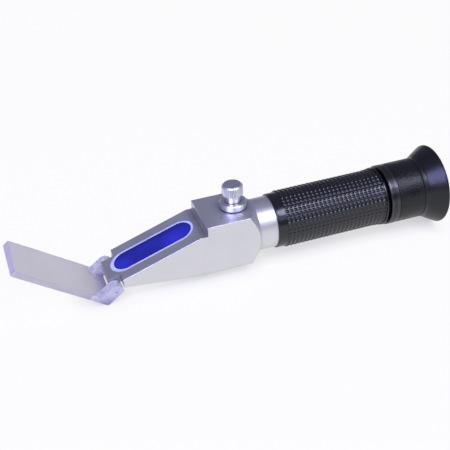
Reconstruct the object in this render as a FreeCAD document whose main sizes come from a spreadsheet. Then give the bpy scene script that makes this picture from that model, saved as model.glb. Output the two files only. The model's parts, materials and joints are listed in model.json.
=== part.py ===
# Handheld refractometer: a metal prism block with a hinged cover plate, a calibration
# screw on top, and a tube with a soft grip and a focusing eyepiece.
# Frame: origin on the block's flat underside, below the calibration screw's axis.
# +X runs along the tube to the eyepiece, +Z is up, and all lengths are in millimetres.
import FreeCAD, Part
import math
import os
import Sketcher
from types import SimpleNamespace

# Driving sizes: name, millimetres or degrees, what it is
SIZES = (
    ("running_gap", 0.05, "radial gap of a turning or sliding fit"),
    ("seat_gap", 0.03, "radial gap of a fixed piece in its seat"),
    ("body_gap", 0.3, "gap between two pieces that pass each other"),
    ("axis_height", 12.8, "optical axis above the block's underside"),
    ("block_half_width", 13.55, "half the width of the block"),
    ("block_rise", 13.25, "top of the block above the optical axis"),
    ("step_from_screw", 17.2, "calibration axis to the step behind the prism"),
    ("step_fillet", 0.5, "hollow round at the foot of the step"),
    ("ledge_length", 3.1, "flat ledge between the slope and the step"),
    ("slope_angle", 18.43, "slope of the prism face"),
    ("notch_from_screw", 59.5, "calibration axis to the hinge notches"),
    ("notch_drop", 4.4, "sloping face below the optical axis at the notches"),
    ("notch_thickness", 4.45, "block's thickness at the notches"),
    ("bend_from_screw", 21.5, "calibration axis to the bend of the underside"),
    ("tongue_length", 6.3, "tongue between the hinge notches"),
    ("tongue_half_width", 7.8, "half the width of the tongue"),
    ("cone_start", 3.95, "where the turned cone starts at the block's corners"),
    ("cone_end", 9.3, "where the cone meets the collar"),
    ("collar_radius", 12.78, "silver collar in front of the grip"),
    ("collar_end", 18.2, "rear face of the collar"),
    ("edge_round", 0.45, "round along the block's long edges"),
    ("window_half_width", 6.25, "half the width of the glass window"),
    ("window_start", -1.3, "front end of the window, along the slope from the notches"),
    ("window_length", 40.8, "window from end to end"),
    ("rim_width", 1.1, "pale seal beside the window"),
    ("rim_low_width", 1.9, "pale seal at the window's low end"),
    ("rim_depth", 1.6, "depth of the seal below the slope"),
    ("prism_half_width", 5.4, "half the width of the prism's wedge"),
    ("wedge_front_inset", 10.73, "wedge's thin end behind the window's low end"),
    ("wedge_back_inset", 3.97, "wedge's upright exit face ahead of the window's high end"),
    ("prism_drop", 4.2, "underside of the wedge below the optical axis"),
    ("light_bore_radius", 4.5, "light passage from the prism to the objective"),
    ("hinge_depth", 4.6, "hinge axis below the plane of the slope"),
    ("hinge_behind_tip", 2.4, "hinge axis behind the tongue's end"),
    ("pin_radius", 0.8, "hinge pin"),
    ("lug_radius", 2.2, "round of the hinge lug about the pin"),
    ("ear_front", 2.2, "front edge of the ears ahead of the pin"),
    ("plate_inset", 0.25, "cover plate's edge inside the block's side"),
    ("plate_thickness", 2.8, "cover plate"),
    ("plate_gap", 0.3, "closed plate above the sloping face"),
    ("plate_end_gap", 1.2, "closed plate's end to the step"),
    ("plate_corner", 0.8, "round of the plate's free corners"),
    ("plate_front_round", 1.0, "round along the plate's edge above the hinge"),
    ("open_angle", 126.2, "plate opened from closed, as it rests"),
    ("carrier_clear", 0.6, "space round the objective carrier in its chamber"),
    ("chamber_half_width", 7.6, "half the distance between the chamber's guide flats"),
    ("chamber_half_length", 6.0, "half the chamber's length along the tube"),
    ("spigot_wall", 1.77, "wall of the tube's spigot in the collar's socket"),
    ("socket_depth", 10.0, "depth of that socket"),
    ("bush_radius", 4.2, "threaded part of the calibration bush"),
    ("bush_foot_clear", 1.0, "foot of the threaded part above the chamber"),
    ("flange_radius", 6.52, "flange of the bush"),
    ("flange_height", 2.95, "flange of the bush above the gasket"),
    ("flange_chamfer", 0.4, "chamfer on the flange"),
    ("gasket_thickness", 0.4, "gasket under the flange"),
    ("gasket_inset", 0.3, "gasket's edge inside the flange"),
    ("shaft_radius", 2.4, "knob's shaft in the bush"),
    ("shaft_foot", 1.0, "shaft below the bush"),
    ("clip_groove_depth", 0.5, "groove for the clip in the shaft"),
    ("clip_thickness", 0.5, "retaining clip"),
    ("clip_drop", 0.2, "clip below the bush"),
    ("clip_width", 1.45, "clip from its bore to its rim"),
    ("screw_radius", 1.5, "screw end that lifts the objective carrier"),
    ("screw_length", 3.0, "screw end below the shaft"),
    ("neck_radius", 3.8, "polished neck of the knob"),
    ("neck_height", 3.7, "polished neck above the bush"),
    ("head_radius", 5.06, "knurled head of the knob"),
    ("head_height", 5.2, "knurled head"),
    ("head_chamfer", 0.8, "chamfer at the top of the head"),
    ("knurl_depth", 0.28, "depth of a knurl groove"),
    ("knurl_width", 0.62, "width of a knurl groove at the rim"),
    ("knurl_count", 36, "knurl grooves round the head"),
    ("carrier_radius", 8.6, "objective carrier's round top and sides"),
    ("carrier_half_length", 5.0, "half the carrier's length along the tube"),
    ("carrier_hole_depth", 2.8, "threaded hole in the carrier's top"),
    ("objective_radius", 5.15, "objective lenses"),
    ("objective_lip", 0.8, "radial width of the lip and ring that hold the lenses"),
    ("objective_lip_length", 1.45, "lip at the carrier's front"),
    ("objective_seat_gap", 0.25, "lens edge behind the lip, for its bulge"),
    ("crown_bulge", 0.7, "front bulge of the crown lens"),
    ("crown_edge", 2.0, "edge thickness of the crown lens"),
    ("cement_bulge", 0.5, "bulge of the cemented faces"),
    ("flint_edge", 2.1, "edge thickness of the flint lens"),
    ("objective_ring_length", 1.5, "ring that holds the objective"),
    ("spring_thickness", 0.3, "bowed leaf spring under the carrier"),
    ("spring_half_width", 1.4, "half the width of the leaf"),
    ("spring_half_span", 4.0, "half the span of the leaf"),
    ("spring_clear", 0.04, "leaf to the carrier above it"),
    ("spring_rise", 1.5, "rise of the leaf's bow"),
    ("spigot_gap", 0.1, "spigot's end to the bottom of its socket"),
    ("tube_radius", 12.3, "outside of the tube under the grip"),
    ("tube_end", 75.8, "end of the tube's gripped length"),
    ("tube_bore", 8.6, "bore of the tube in front of the reticle"),
    ("shoulder_width", 0.8, "shoulder that the reticle cell rests on"),
    ("shoulder_inset", 11.8, "that shoulder to the end of the gripped length"),
    ("thread_step", 0.3, "focusing thread below the tube's surface"),
    ("thread_clear", 2.0, "tube's rear end to the web with the eyepiece turned in"),
    ("seal_position", 11.7, "middle of the seal groove on the spigot"),
    ("seal_cord_radius", 0.5, "half the seal ring's cord"),
    ("seal_groove_width", 1.4, "seal groove"),
    ("lock_screw_position", 15.0, "lock screw in the collar"),
    ("lock_screw_radius", 1.0, "lock screw"),
    ("lock_screw_bite", 0.7, "lock screw's reach into the spigot"),
    ("lock_screw_inset", 0.2, "lock screw below the collar's surface"),
    ("lock_socket_radius", 0.5, "key socket in the lock screw"),
    ("lock_socket_depth", 1.0, "depth of that key socket"),
    ("stop_position", 30.0, "aperture stop in the tube"),
    ("stop_thickness", 0.8, "aperture stop"),
    ("stop_hole_radius", 3.2, "hole of the aperture stop"),
    ("grip_wall", 1.8, "rubber of the grip under its studs"),
    ("grip_collar_wall", 1.25, "rubber of the smooth front collar"),
    ("grip_collar_length", 4.6, "length of the smooth front collar"),
    ("grip_flare_wall", 2.5, "rubber at the grip's rear end"),
    ("grip_flare_length", 6.0, "flared rear end of the grip"),
    ("grip_lip", 0.6, "round of the grip's ends"),
    ("reticle_cell_wall", 0.94, "wall of the reticle cell"),
    ("reticle_thickness", 1.2, "glass reticle"),
    ("reticle_lip", 0.8, "radial width of the lip and ring that hold the reticle"),
    ("reticle_lip_length", 0.95, "lip of the reticle cell"),
    ("reticle_ring_length", 1.3, "ring that holds the reticle"),
    ("cell_front_clear", 1.52, "lens cell to the reticle's ring with the eyepiece turned in"),
    ("cell_flange_thickness", 1.9, "rear flange of the lens cell"),
    ("cell_wall", 1.32, "wall of the lens cell round its lenses"),
    ("lens_lip", 0.8, "radial width of the shoulders and rings that hold them"),
    ("field_seat_depth", 10.5, "shoulder behind the field lens, from the cell's front"),
    ("field_edge", 1.8, "edge thickness of the field lens"),
    ("field_bulge", 1.2, "front bulge of the field lens"),
    ("field_ring_length", 1.45, "ring that holds the field lens"),
    ("eye_seat_depth", 4.0, "shoulder in front of the eye lens, from the cell's rear"),
    ("eye_edge", 1.5, "edge thickness of the eye lens"),
    ("eye_bulge", 1.4, "rear bulge of the eye lens"),
    ("lens_ring_gap", 0.45, "lens ring to the lens edge, for the bulge"),
    ("guide_pin_inset", 3.5, "guide pin behind the cell's front"),
    ("guide_pin_radius", 0.75, "guide pin"),
    ("guide_pin_reach", 0.7, "guide pin's reach into the cell's wall"),
    ("focus_travel", 1.5, "travel of the eyepiece each way"),
    ("snap_ring_width", 1.2, "radial width of the cell's snap ring"),
    ("snap_ring_bite", 0.4, "snap ring's depth in its groove"),
    ("snap_ring_thickness", 0.9, "cell's snap ring"),
    ("side_play", 0.1, "side gap of the cell in the focus ring"),
    ("focus_ring_wall", 3.15, "focus ring over its thread"),
    ("focus_gap", 1.9, "groove between the grip and the focus ring"),
    ("focus_ring_chamfer", 0.4, "front edge of the focus ring"),
    ("smooth_length", 4.7, "smooth front of the focus ring"),
    ("band_thickness", 1.0, "rubber band on the focus ring"),
    ("band_length", 13.9, "rubber band on the focus ring"),
    ("web_inset", 5.8, "web's front ahead of the rubber band's rear end"),
    ("web_thickness", 4.0, "web that turns on the lens cell"),
    ("cell_flange_width", 1.5, "rear flange's reach past the tube's bore"),
    ("cup_spigot_wall", 1.4, "wall of the spigot that carries the eyecup"),
    ("cup_spigot_length", 4.0, "spigot that carries the eyecup"),
    ("cup_length", 10.7, "eyecup from the focus ring to its rim"),
    ("cup_rim_radius", 20.0, "rim of the eyecup"),
    ("cup_rim_width", 1.5, "thickness of the eyecup's rim"),
    ("cup_rim_round", 0.5, "round of the eyecup's rim"),
    ("cup_throat_step", 0.2, "eyecup's throat outside the spigot's bore"),
    ("cup_waist_length", 1.9, "straight start of the eyecup"),
)


class Size:
    """A length or an angle, with the expression that ties it to the sheet."""

    def __init__(self, value, text):
        self.value = value
        self.text = text

    def __add__(self, other):
        other = as_size(other)
        return Size(self.value + other.value, f"({self.text} + {other.text})")

    def __sub__(self, other):
        other = as_size(other)
        return Size(self.value - other.value, f"({self.text} - {other.text})")

    def __mul__(self, other):
        other = as_size(other)
        return Size(self.value * other.value, f"({self.text} * {other.text})")

    def __truediv__(self, other):
        other = as_size(other)
        return Size(self.value / other.value, f"({self.text} / {other.text})")

    def __radd__(self, other):
        return as_size(other) + self

    def __rsub__(self, other):
        return as_size(other) - self

    def __rmul__(self, other):
        return as_size(other) * self

    def __neg__(self):
        return Size(-self.value, f"(0 - {self.text})")


def as_size(number):
    """A plain number as a Size, so that sums may mix the two."""
    if isinstance(number, Size):
        return number
    return Size(float(number), f"{float(number):.6f}")


def root(size):
    return Size(math.sqrt(size.value), f"sqrt({size.text})")


def sine(angle):
    return Size(math.sin(math.radians(angle.value)), f"sin({angle.text})")


def cosine(angle):
    return Size(math.cos(math.radians(angle.value)), f"cos({angle.text})")


def tangent(angle):
    return Size(math.tan(math.radians(angle.value)), f"tan({angle.text})")


def make_sheet():
    """Write the driving sizes into a sheet and hand them back by name."""
    sheet = doc.addObject("Spreadsheet::Sheet", "sizes")
    named = {}
    for row, (name, value, note) in enumerate(SIZES, start=1):
        sheet.set(f"A{row}", name)
        sheet.set(f"B{row}", str(value))
        sheet.set(f"C{row}", note)
        sheet.setAlias(f"B{row}", name)
        named[name] = Size(float(value), f"sizes.{name}")
    doc.recompute()
    return SimpleNamespace(**named)


def work_out_sizes(s):
    """Add the sizes and places that follow from the driving sizes."""
    s.block_top = s.axis_height + s.block_rise
    s.notch_top = s.axis_height - s.notch_drop
    s.notch_bottom = s.notch_top - s.notch_thickness
    s.slope_end = -s.step_from_screw - s.step_fillet - s.ledge_length
    s.ledge_height = s.notch_top + (s.slope_end + s.notch_from_screw) * tangent(s.slope_angle)
    s.prism_bottom = s.axis_height - s.prism_drop
    window_low = s.notch_from_screw - s.window_start * cosine(s.slope_angle)
    window_high = window_low - s.window_length * cosine(s.slope_angle)
    s.prism_front_from_screw = window_low - s.wedge_front_inset
    s.prism_back_from_screw = window_high + s.wedge_back_inset
    s.plate_half_width = s.block_half_width - s.plate_inset

    # Chamber, the carrier's flat underside over its spring, and the bush above
    s.chamber_radius = s.carrier_radius + s.carrier_clear
    chamber_floor = root(s.chamber_radius * s.chamber_radius - s.spring_half_width * s.spring_half_width)
    spring_space = s.spring_clear + s.spring_rise + s.spring_thickness + s.running_gap
    s.carrier_bottom = chamber_floor - spring_space
    s.bush_foot = s.block_rise - s.chamber_radius - s.bush_foot_clear

    # Tube and grip
    s.socket_radius = s.tube_bore + s.spigot_wall + s.seat_gap
    s.cell_bore = s.tube_bore + s.shoulder_width
    s.reticle_shoulder = s.tube_end - s.shoulder_inset
    s.reticle_radius = s.cell_bore - s.reticle_cell_wall - 2 * s.seat_gap
    s.reticle_seat = s.reticle_shoulder + s.reticle_lip_length
    s.reticle_end = s.reticle_seat + s.reticle_thickness + s.seat_gap + s.reticle_ring_length
    s.focus_thread_radius = s.tube_radius - s.thread_step

    # Focus ring and eyepiece, one place after another along the tube
    s.ring_front = s.tube_end + s.focus_gap
    s.band_start = s.ring_front + s.smooth_length
    s.band_end = s.band_start + s.band_length
    s.spigot_end = s.band_end + s.cup_spigot_length
    s.web_front = s.band_end - s.web_inset
    s.focus_thread_end = s.web_front - s.focus_travel - s.thread_clear
    s.focus_ring_radius = s.focus_thread_radius + s.running_gap + s.focus_ring_wall
    s.cell_front = s.reticle_end + s.focus_travel + s.cell_front_clear
    s.cell_flange_start = s.web_front + s.web_thickness + s.side_play
    s.cell_end = s.cell_flange_start + s.cell_flange_thickness
    s.cell_flange_radius = s.cell_bore + s.cell_flange_width
    s.lens_radius = s.cell_bore - s.running_gap - s.cell_wall - s.seat_gap
    s.field_seat = s.cell_front + s.field_seat_depth
    s.eye_seat = s.cell_end - s.eye_seat_depth
    s.guide_pin_position = s.cell_front + s.guide_pin_inset
    s.cup_socket_radius = s.cell_flange_radius + s.body_gap
    s.cup_spigot_radius = s.cup_socket_radius + s.cup_spigot_wall
    s.cup_throat_radius = s.cup_socket_radius + s.cup_throat_step


class Arc:
    """A round stretch of an outline, from the corner before it to the corner after it."""

    def __init__(self, centre_x, centre_y, clockwise=False):
        self.x = as_size(centre_x)
        self.y = as_size(centre_y)
        self.clockwise = clockwise


def new_body(label, base=(0, 0, 0)):
    """A piece with its own label, standing at its base point."""
    body = doc.addObject("PartDesign::Body", label)
    body.Label = label
    for letter, place in zip("xyz", base):
        place = as_size(place)
        if place.value:
            body.setExpression(f".Placement.Base.{letter}", place.text)
    return body


def new_sketch(body, plane, shift=(0, 0, 0), tilt=None):
    """A sketch on one of the body's own planes, moved and tilted about Y where asked."""
    sketch = body.newObject("Sketcher::SketchObject", f"{body.Label}_sketch")
    support = next(item for item in body.Origin.OriginFeatures if item.Role == plane)
    sketch.AttachmentSupport = [(support, "")]
    sketch.MapMode = "FlatFace"
    places = [as_size(place) for place in shift]
    turn = FreeCAD.Rotation()
    if tilt is not None:
        turn = FreeCAD.Rotation(FreeCAD.Vector(0, 1, 0), tilt.value)
    sketch.AttachmentOffset = FreeCAD.Placement(FreeCAD.Vector(*[place.value for place in places]), turn)
    for letter, place in zip("xyz", places):
        if place.value:
            sketch.setExpression(f".AttachmentOffset.Base.{letter}", place.text)
    if tilt is not None:
        sketch.setExpression(".AttachmentOffset.Rotation.Angle", tilt.text)
    return sketch


def tie(sketch, kind, geometry, position, size):
    """Hold one coordinate of a point at a size of the sheet."""
    index = sketch.addConstraint(Sketcher.Constraint(kind, -1, 1, geometry, position, size.value))
    sketch.setExpression(f"Constraints[{index}]", size.text)


def draw_outline(sketch, *steps):
    """Draw a closed outline from its corners (x, y), with an Arc where it is round."""
    corners = []
    arcs = {}
    for step in steps:
        if isinstance(step, Arc):
            arcs[len(corners) - 1] = step
        else:
            corners.append([as_size(number) for number in step])
    points = [FreeCAD.Vector(x.value, y.value, 0) for x, y in corners]
    ends = []
    for index, start in enumerate(points):
        end = points[(index + 1) % len(points)]
        arc = arcs.get(index)
        if arc is None:
            geometry = sketch.addGeometry(Part.LineSegment(start, end), False)
            ends.append((geometry, 1, 2))
            continue
        centre = FreeCAD.Vector(arc.x.value, arc.y.value, 0)
        first, last = (end, start) if arc.clockwise else (start, end)
        begin_angle = math.atan2(first.y - centre.y, first.x - centre.x)
        end_angle = math.atan2(last.y - centre.y, last.x - centre.x)
        if end_angle <= begin_angle:
            end_angle += 2 * math.pi
        circle = Part.Circle(centre, FreeCAD.Vector(0, 0, 1), (first - centre).Length)
        geometry = sketch.addGeometry(Part.ArcOfCircle(circle, begin_angle, end_angle), False)
        ends.append((geometry, 2, 1) if arc.clockwise else (geometry, 1, 2))
        chord = end - start
        if abs(chord.y) >= abs(chord.x):
            tie(sketch, "DistanceX", geometry, 3, arc.x)
        else:
            tie(sketch, "DistanceY", geometry, 3, arc.y)
    for index, (geometry, start_position, _) in enumerate(ends):
        before, _, end_position = ends[index - 1]
        sketch.addConstraint(
            Sketcher.Constraint("Coincident", before, end_position, geometry, start_position)
        )
        tie(sketch, "DistanceX", geometry, start_position, corners[index][0])
        tie(sketch, "DistanceY", geometry, start_position, corners[index][1])
    return sketch


def draw_circle(sketch, centre_x, centre_y, radius):
    """Draw a circle whose centre and radius follow the sheet."""
    x, y, radius = as_size(centre_x), as_size(centre_y), as_size(radius)
    circle = Part.Circle(FreeCAD.Vector(x.value, y.value, 0), FreeCAD.Vector(0, 0, 1), radius.value)
    geometry = sketch.addGeometry(circle, False)
    tie(sketch, "DistanceX", geometry, 3, x)
    tie(sketch, "DistanceY", geometry, 3, y)
    index = sketch.addConstraint(Sketcher.Constraint("Radius", geometry, radius.value))
    sketch.setExpression(f"Constraints[{index}]", radius.text)
    return sketch


def draw_rectangle(sketch, low_x, low_y, high_x, high_y):
    return draw_outline(sketch, (low_x, low_y), (high_x, low_y), (high_x, high_y), (low_x, high_y))


def draw_stadium(sketch, low_x, high_x, radius):
    """Draw a slot shape along the sketch's X axis, with round ends of the given radius."""
    left = low_x + radius
    right = high_x - radius
    return draw_outline(
        sketch,
        (left, -radius),
        (right, -radius), Arc(right, 0),
        (right, radius),
        (left, radius), Arc(left, 0),
    )


def add_pad(body, sketch, length, midplane=False):
    pad = body.newObject("PartDesign::Pad", f"{body.Label}_pad")
    pad.Profile = sketch
    pad.SideType = "Symmetric" if midplane else "One side"
    pad.setExpression("Length", as_size(length).text)
    doc.recompute()
    return pad


def add_pocket(body, sketch, length, midplane=False):
    """Cut a sketch into the body, away from the sketch's normal, and make sure that it cuts."""
    before = body.Shape.Volume
    pocket = body.newObject("PartDesign::Pocket", f"{body.Label}_pocket")
    pocket.Profile = sketch
    pocket.SideType = "Symmetric" if midplane else "One side"
    pocket.setExpression("Length", as_size(length).text)
    doc.recompute()
    if body.Shape.Volume >= before:
        raise RuntimeError(f"{pocket.Label} cuts nothing")
    return pocket


def add_turned(body, sketch, kind="PartDesign::Revolution", axis="H_Axis"):
    """Turn a sketch about its own axis, as a solid or as a groove."""
    feature = body.newObject(kind, f"{body.Label}_turned")
    feature.Profile = sketch
    feature.ReferenceAxis = (sketch, [axis])
    feature.Angle = 360
    doc.recompute()
    return feature


def along_tube(label, *steps):
    """A piece turned about the optical axis, from its outline of places and radii."""
    body = new_body(label, (0, 0, s.axis_height))
    add_turned(body, draw_outline(new_sketch(body, "XZ_Plane"), *steps))
    return body


def tube_ring(label, start, end, inner, outer):
    return along_tube(label, (start, inner), (end, inner), (end, outer), (start, outer))


def upright(label, *steps):
    """A piece turned about the calibration axis, from its outline of radii and heights."""
    body = new_body(label)
    add_turned(body, draw_outline(new_sketch(body, "XZ_Plane"), *steps), axis="V_Axis")
    return body


def round_edges(body, radius, wanted):
    """Round the edges of the body that the wanted test picks by their two ends."""
    base = body.Tip
    names = []
    for index, edge in enumerate(base.Shape.Edges, start=1):
        ends = [vertex.Point for vertex in edge.Vertexes]
        if len(ends) == 2 and wanted(*ends):
            names.append(f"Edge{index}")
    fillet = body.newObject("PartDesign::Fillet", f"{body.Label}_round")
    fillet.Base = (base, names)
    fillet.setExpression("Radius", radius.text)
    doc.recompute()
    return fillet


def curve_radius(rise, half_chord):
    """Radius of the arc that rises by the given amount over half its chord."""
    return (half_chord * half_chord + rise * rise) / (2 * rise)


def close_to(first, second):
    return abs(first - second) < 1e-4


# Main body: prism block, turned cone and collar in one piece of metal

def slope_height(x):
    """Height of the sloping face at a place along the tube."""
    return s.notch_top + (x + s.notch_from_screw) * tangent(s.slope_angle)


def under_height(x):
    """Height of the rising underside at a place along the tube."""
    rise = s.notch_bottom / (s.notch_from_screw - s.bend_from_screw)
    return (-s.bend_from_screw - x) * rise


def slope_sketch(body, rise=0):
    """A sketch in the plane of the sloping face, with X up the slope from the notches."""
    lift = as_size(rise)
    place = (
        -s.notch_from_screw - lift * sine(s.slope_angle),
        0,
        s.notch_top + lift * cosine(s.slope_angle),
    )
    return new_sketch(body, "XY_Plane", place, tilt=-s.slope_angle)


def wedge_outline(sketch, gap, cover):
    """The prism's wedge seen from the side, grown by a gap, up to a cover below the slope."""
    front = -s.prism_front_from_screw - gap
    back = -s.prism_back_from_screw + gap
    bottom = s.prism_bottom - gap
    drop = cover / cosine(s.slope_angle)
    return draw_outline(
        sketch,
        (front, bottom),
        (back, bottom),
        (back, slope_height(back) - drop),
        (front, slope_height(front) - drop),
    )


def make_main_body():
    body = new_body("main_body")
    tip = -s.notch_from_screw - s.tongue_length
    step = -s.step_from_screw

    side = new_sketch(body, "XZ_Plane")
    draw_outline(
        side,
        (-s.bend_from_screw, 0),
        (s.collar_end, 0),
        (s.collar_end, s.block_top),
        (step, s.block_top),
        (step, s.ledge_height + s.step_fillet),
        Arc(step - s.step_fillet, s.ledge_height + s.step_fillet, clockwise=True),
        (step - s.step_fillet, s.ledge_height),
        (s.slope_end, s.ledge_height),
        (tip, slope_height(tip)),
        (tip, under_height(tip)),
    )
    add_pad(body, side, 2 * s.block_half_width, midplane=True)

    # Long edges of the block, before anything else crosses them
    half = s.block_half_width.value
    longest_short_edge = s.tongue_length.value
    round_edges(body, s.edge_round, lambda a, b: (
        close_to(abs(a.y), half) and close_to(a.y, b.y) and abs(a.x - b.x) > longest_short_edge
    ))

    # Hinge notches on both sides of the tongue
    outside = s.block_half_width + 1
    low = under_height(tip) - s.body_gap - s.hinge_depth
    for side_sign in (-1, 1):
        notch = new_sketch(body, "XY_Plane", (0, 0, s.ledge_height))
        edges = sorted(
            (side_sign * s.tongue_half_width, side_sign * outside), key=lambda size: size.value
        )
        draw_rectangle(notch, tip - 1, edges[0], -s.notch_from_screw, edges[1])
        add_pocket(body, notch, s.ledge_height - low)

    # Hinge lug below the tongue, between the cover's ears
    lug = new_sketch(body, "XZ_Plane")
    left = hinge_x - s.lug_radius
    right = hinge_x + s.lug_radius
    draw_outline(
        lug,
        (left, hinge_z),
        Arc(hinge_x, hinge_z),
        (right, hinge_z),
        (right, under_height(right) + s.body_gap),
        (left, under_height(left) + s.body_gap),
    )
    add_pad(body, lug, 2 * s.tongue_half_width, midplane=True)
    pin_hole = draw_circle(new_sketch(body, "XZ_Plane"), hinge_x, hinge_z, s.pin_radius + s.seat_gap)
    add_pocket(body, pin_hole, 2 * s.block_half_width, midplane=True)

    # Turned cone and collar
    corner = root(s.block_half_width * s.block_half_width + s.block_top * s.block_top / 4)
    beyond = s.block_half_width + s.block_top
    cone = draw_outline(
        new_sketch(body, "XZ_Plane", (0, s.axis_height, 0)),
        (s.cone_start, corner),
        (s.cone_end, s.collar_radius),
        (s.collar_end + 1, s.collar_radius),
        (s.collar_end + 1, beyond),
        (s.cone_start, beyond),
    )
    add_turned(body, cone, "PartDesign::Groove")

    # Light passage, carrier chamber and tube socket, one behind the other
    socket_start = s.collar_end - s.socket_depth
    bores = draw_outline(
        new_sketch(body, "XZ_Plane", (0, s.axis_height, 0)),
        (-s.prism_back_from_screw, 0),
        (s.collar_end + 1, 0),
        (s.collar_end + 1, s.socket_radius),
        (socket_start, s.socket_radius),
        (socket_start, s.chamber_radius),
        (s.chamber_half_length, s.chamber_radius),
        (s.chamber_half_length, s.light_bore_radius),
        (-s.prism_back_from_screw, s.light_bore_radius),
    )
    add_turned(body, bores, "PartDesign::Groove")
    chamber = new_sketch(body, "YZ_Plane", (0, s.axis_height, s.chamber_half_length))
    draw_guided_round(chamber, s.chamber_radius, s.chamber_half_width)
    add_pocket(body, chamber, 2 * s.chamber_half_length)

    # Holes for the calibration bush and the lock screw
    bush_hole = new_sketch(body, "XY_Plane", (0, 0, s.block_top))
    draw_circle(bush_hole, 0, 0, s.bush_radius + s.seat_gap)
    add_pocket(body, bush_hole, s.block_top - s.axis_height - s.chamber_radius / 2)
    lock_hole = new_sketch(body, "XY_Plane", (0, 0, s.axis_height - s.chamber_radius))
    draw_circle(lock_hole, s.lock_screw_position, 0, s.lock_screw_radius + s.seat_gap)
    add_pocket(body, lock_hole, s.axis_height)

    # Seat of the window's seal, and the prism's well below it
    rim = s.window_half_width + s.rim_width + s.seat_gap
    start = s.window_start - s.rim_low_width - s.seat_gap
    end = s.window_start + s.window_length + s.rim_width + s.seat_gap
    add_pocket(body, draw_stadium(slope_sketch(body), start, end, rim), s.rim_depth)
    well = wedge_outline(new_sketch(body, "XZ_Plane"), s.running_gap, s.rim_depth / 2)
    add_pocket(body, well, 2 * (s.prism_half_width + s.running_gap), midplane=True)


def draw_guided_round(sketch, radius, half_width):
    """A circle with two flats, the section of the carrier's chamber."""
    shoulder = root(radius * radius - half_width * half_width)
    return draw_outline(
        sketch,
        (half_width, -shoulder),
        (half_width, shoulder), Arc(0, 0),
        (-half_width, shoulder),
        (-half_width, -shoulder), Arc(0, 0),
    )


# Prism, its seal and the hinged cover

def make_prism():
    body = new_body("prism")
    window = slope_sketch(body)
    end = s.window_start + s.window_length
    draw_stadium(window, s.window_start, end, s.window_half_width)
    pad = add_pad(body, window, s.rim_depth - s.seat_gap)
    pad.Reversed = True
    doc.recompute()
    wedge = wedge_outline(new_sketch(body, "XZ_Plane"), as_size(0), s.rim_depth / 2)
    add_pad(body, wedge, 2 * s.prism_half_width, midplane=True)


def make_prism_seal():
    body = new_body("prism_seal")
    start = s.window_start - s.rim_low_width
    end = s.window_start + s.window_length + s.rim_width
    outer = draw_stadium(slope_sketch(body), start, end, s.window_half_width + s.rim_width)
    pad = add_pad(body, outer, s.rim_depth - s.seat_gap)
    pad.Reversed = True
    doc.recompute()
    inner_start = s.window_start - s.seat_gap
    inner_end = s.window_start + s.window_length + s.seat_gap
    inner = draw_stadium(
        slope_sketch(body, 1), inner_start, inner_end, s.window_half_width + s.seat_gap
    )
    add_pocket(body, inner, s.rim_depth + 2)


def make_cover_plate():
    """The clear cover, drawn closed about its hinge axis and then swung open."""
    body = new_body("cover_plate", (hinge_x, 0, hinge_z))
    body.Placement = FreeCAD.Placement(
        FreeCAD.Vector(hinge_x.value, 0, hinge_z.value),
        FreeCAD.Rotation(FreeCAD.Vector(0, -1, 0), s.open_angle.value),
    )
    body.setExpression(".Placement.Rotation.Angle", s.open_angle.text)
    inner = s.hinge_depth + s.plate_gap
    outer = inner + s.plate_thickness

    def face_height(depth, x):
        return (depth + x * sine(s.slope_angle)) / cosine(s.slope_angle)

    front = -s.ear_front
    end = -s.step_from_screw - s.plate_end_gap - hinge_x
    slab = new_sketch(body, "XZ_Plane")
    draw_outline(
        slab,
        (front, face_height(inner, front)),
        (end, face_height(inner, end)),
        (end, face_height(outer, end)),
        (front, face_height(outer, front)),
    )
    add_pad(body, slab, 2 * s.plate_half_width, midplane=True)
    round_edges(body, s.plate_corner, lambda a, b: (
        close_to(a.x, end.value) and close_to(b.x, end.value) and close_to(a.y, b.y)
    ))
    front_top = face_height(outer, front).value
    round_edges(body, s.plate_front_round, lambda a, b: (
        close_to(a.z, front_top) and close_to(b.z, front_top) and close_to(a.x, front.value)
    ))

    # Two ears that reach down to the hinge pin, with the tongue's space between them
    back = s.tongue_length - s.hinge_behind_tip - s.body_gap
    foot = root(back * back - s.ear_front * s.ear_front)
    ears = new_sketch(body, "XZ_Plane")
    draw_outline(
        ears,
        (front, -foot), Arc(0, 0),
        (back, 0),
        (back, face_height(inner, back) + s.plate_thickness / 2),
        (front, face_height(inner, front) + s.plate_thickness / 2),
    )
    add_pad(body, ears, 2 * s.plate_half_width, midplane=True)
    space = new_sketch(body, "XZ_Plane")
    beyond = 2 * back
    draw_outline(
        space,
        (-beyond, -beyond),
        (beyond, -beyond),
        (beyond, face_height(inner, beyond)),
        (-beyond, face_height(inner, -beyond)),
    )
    add_pocket(body, space, 2 * (s.tongue_half_width + s.body_gap), midplane=True)
    hole = draw_circle(new_sketch(body, "XZ_Plane"), 0, 0, s.pin_radius + s.running_gap)
    add_pocket(body, hole, 2 * (s.plate_half_width + s.body_gap), midplane=True)


def make_hinge_pin():
    body = new_body("hinge_pin", (hinge_x, 0, hinge_z))
    pin = draw_circle(new_sketch(body, "XZ_Plane"), 0, 0, s.pin_radius)
    add_pad(body, pin, 2 * s.plate_half_width - s.body_gap, midplane=True)


# Calibration screw on top of the block

def make_calibration_bush():
    foot = s.block_top - s.bush_foot
    seat = s.block_top + s.gasket_thickness
    top = seat + s.flange_height
    bore = s.shaft_radius + s.running_gap
    upright(
        "calibration_bush",
        (bore, foot),
        (s.bush_radius, foot),
        (s.bush_radius, seat),
        (s.flange_radius, seat),
        (s.flange_radius, top - s.flange_chamfer),
        (s.flange_radius - s.flange_chamfer, top),
        (bore, top),
    )


def make_bush_gasket():
    top = s.block_top + s.gasket_thickness
    inner = s.bush_radius + s.seat_gap
    outer = s.flange_radius - s.gasket_inset
    upright("bush_gasket", (inner, s.block_top), (outer, s.block_top), (outer, top), (inner, top))


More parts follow.
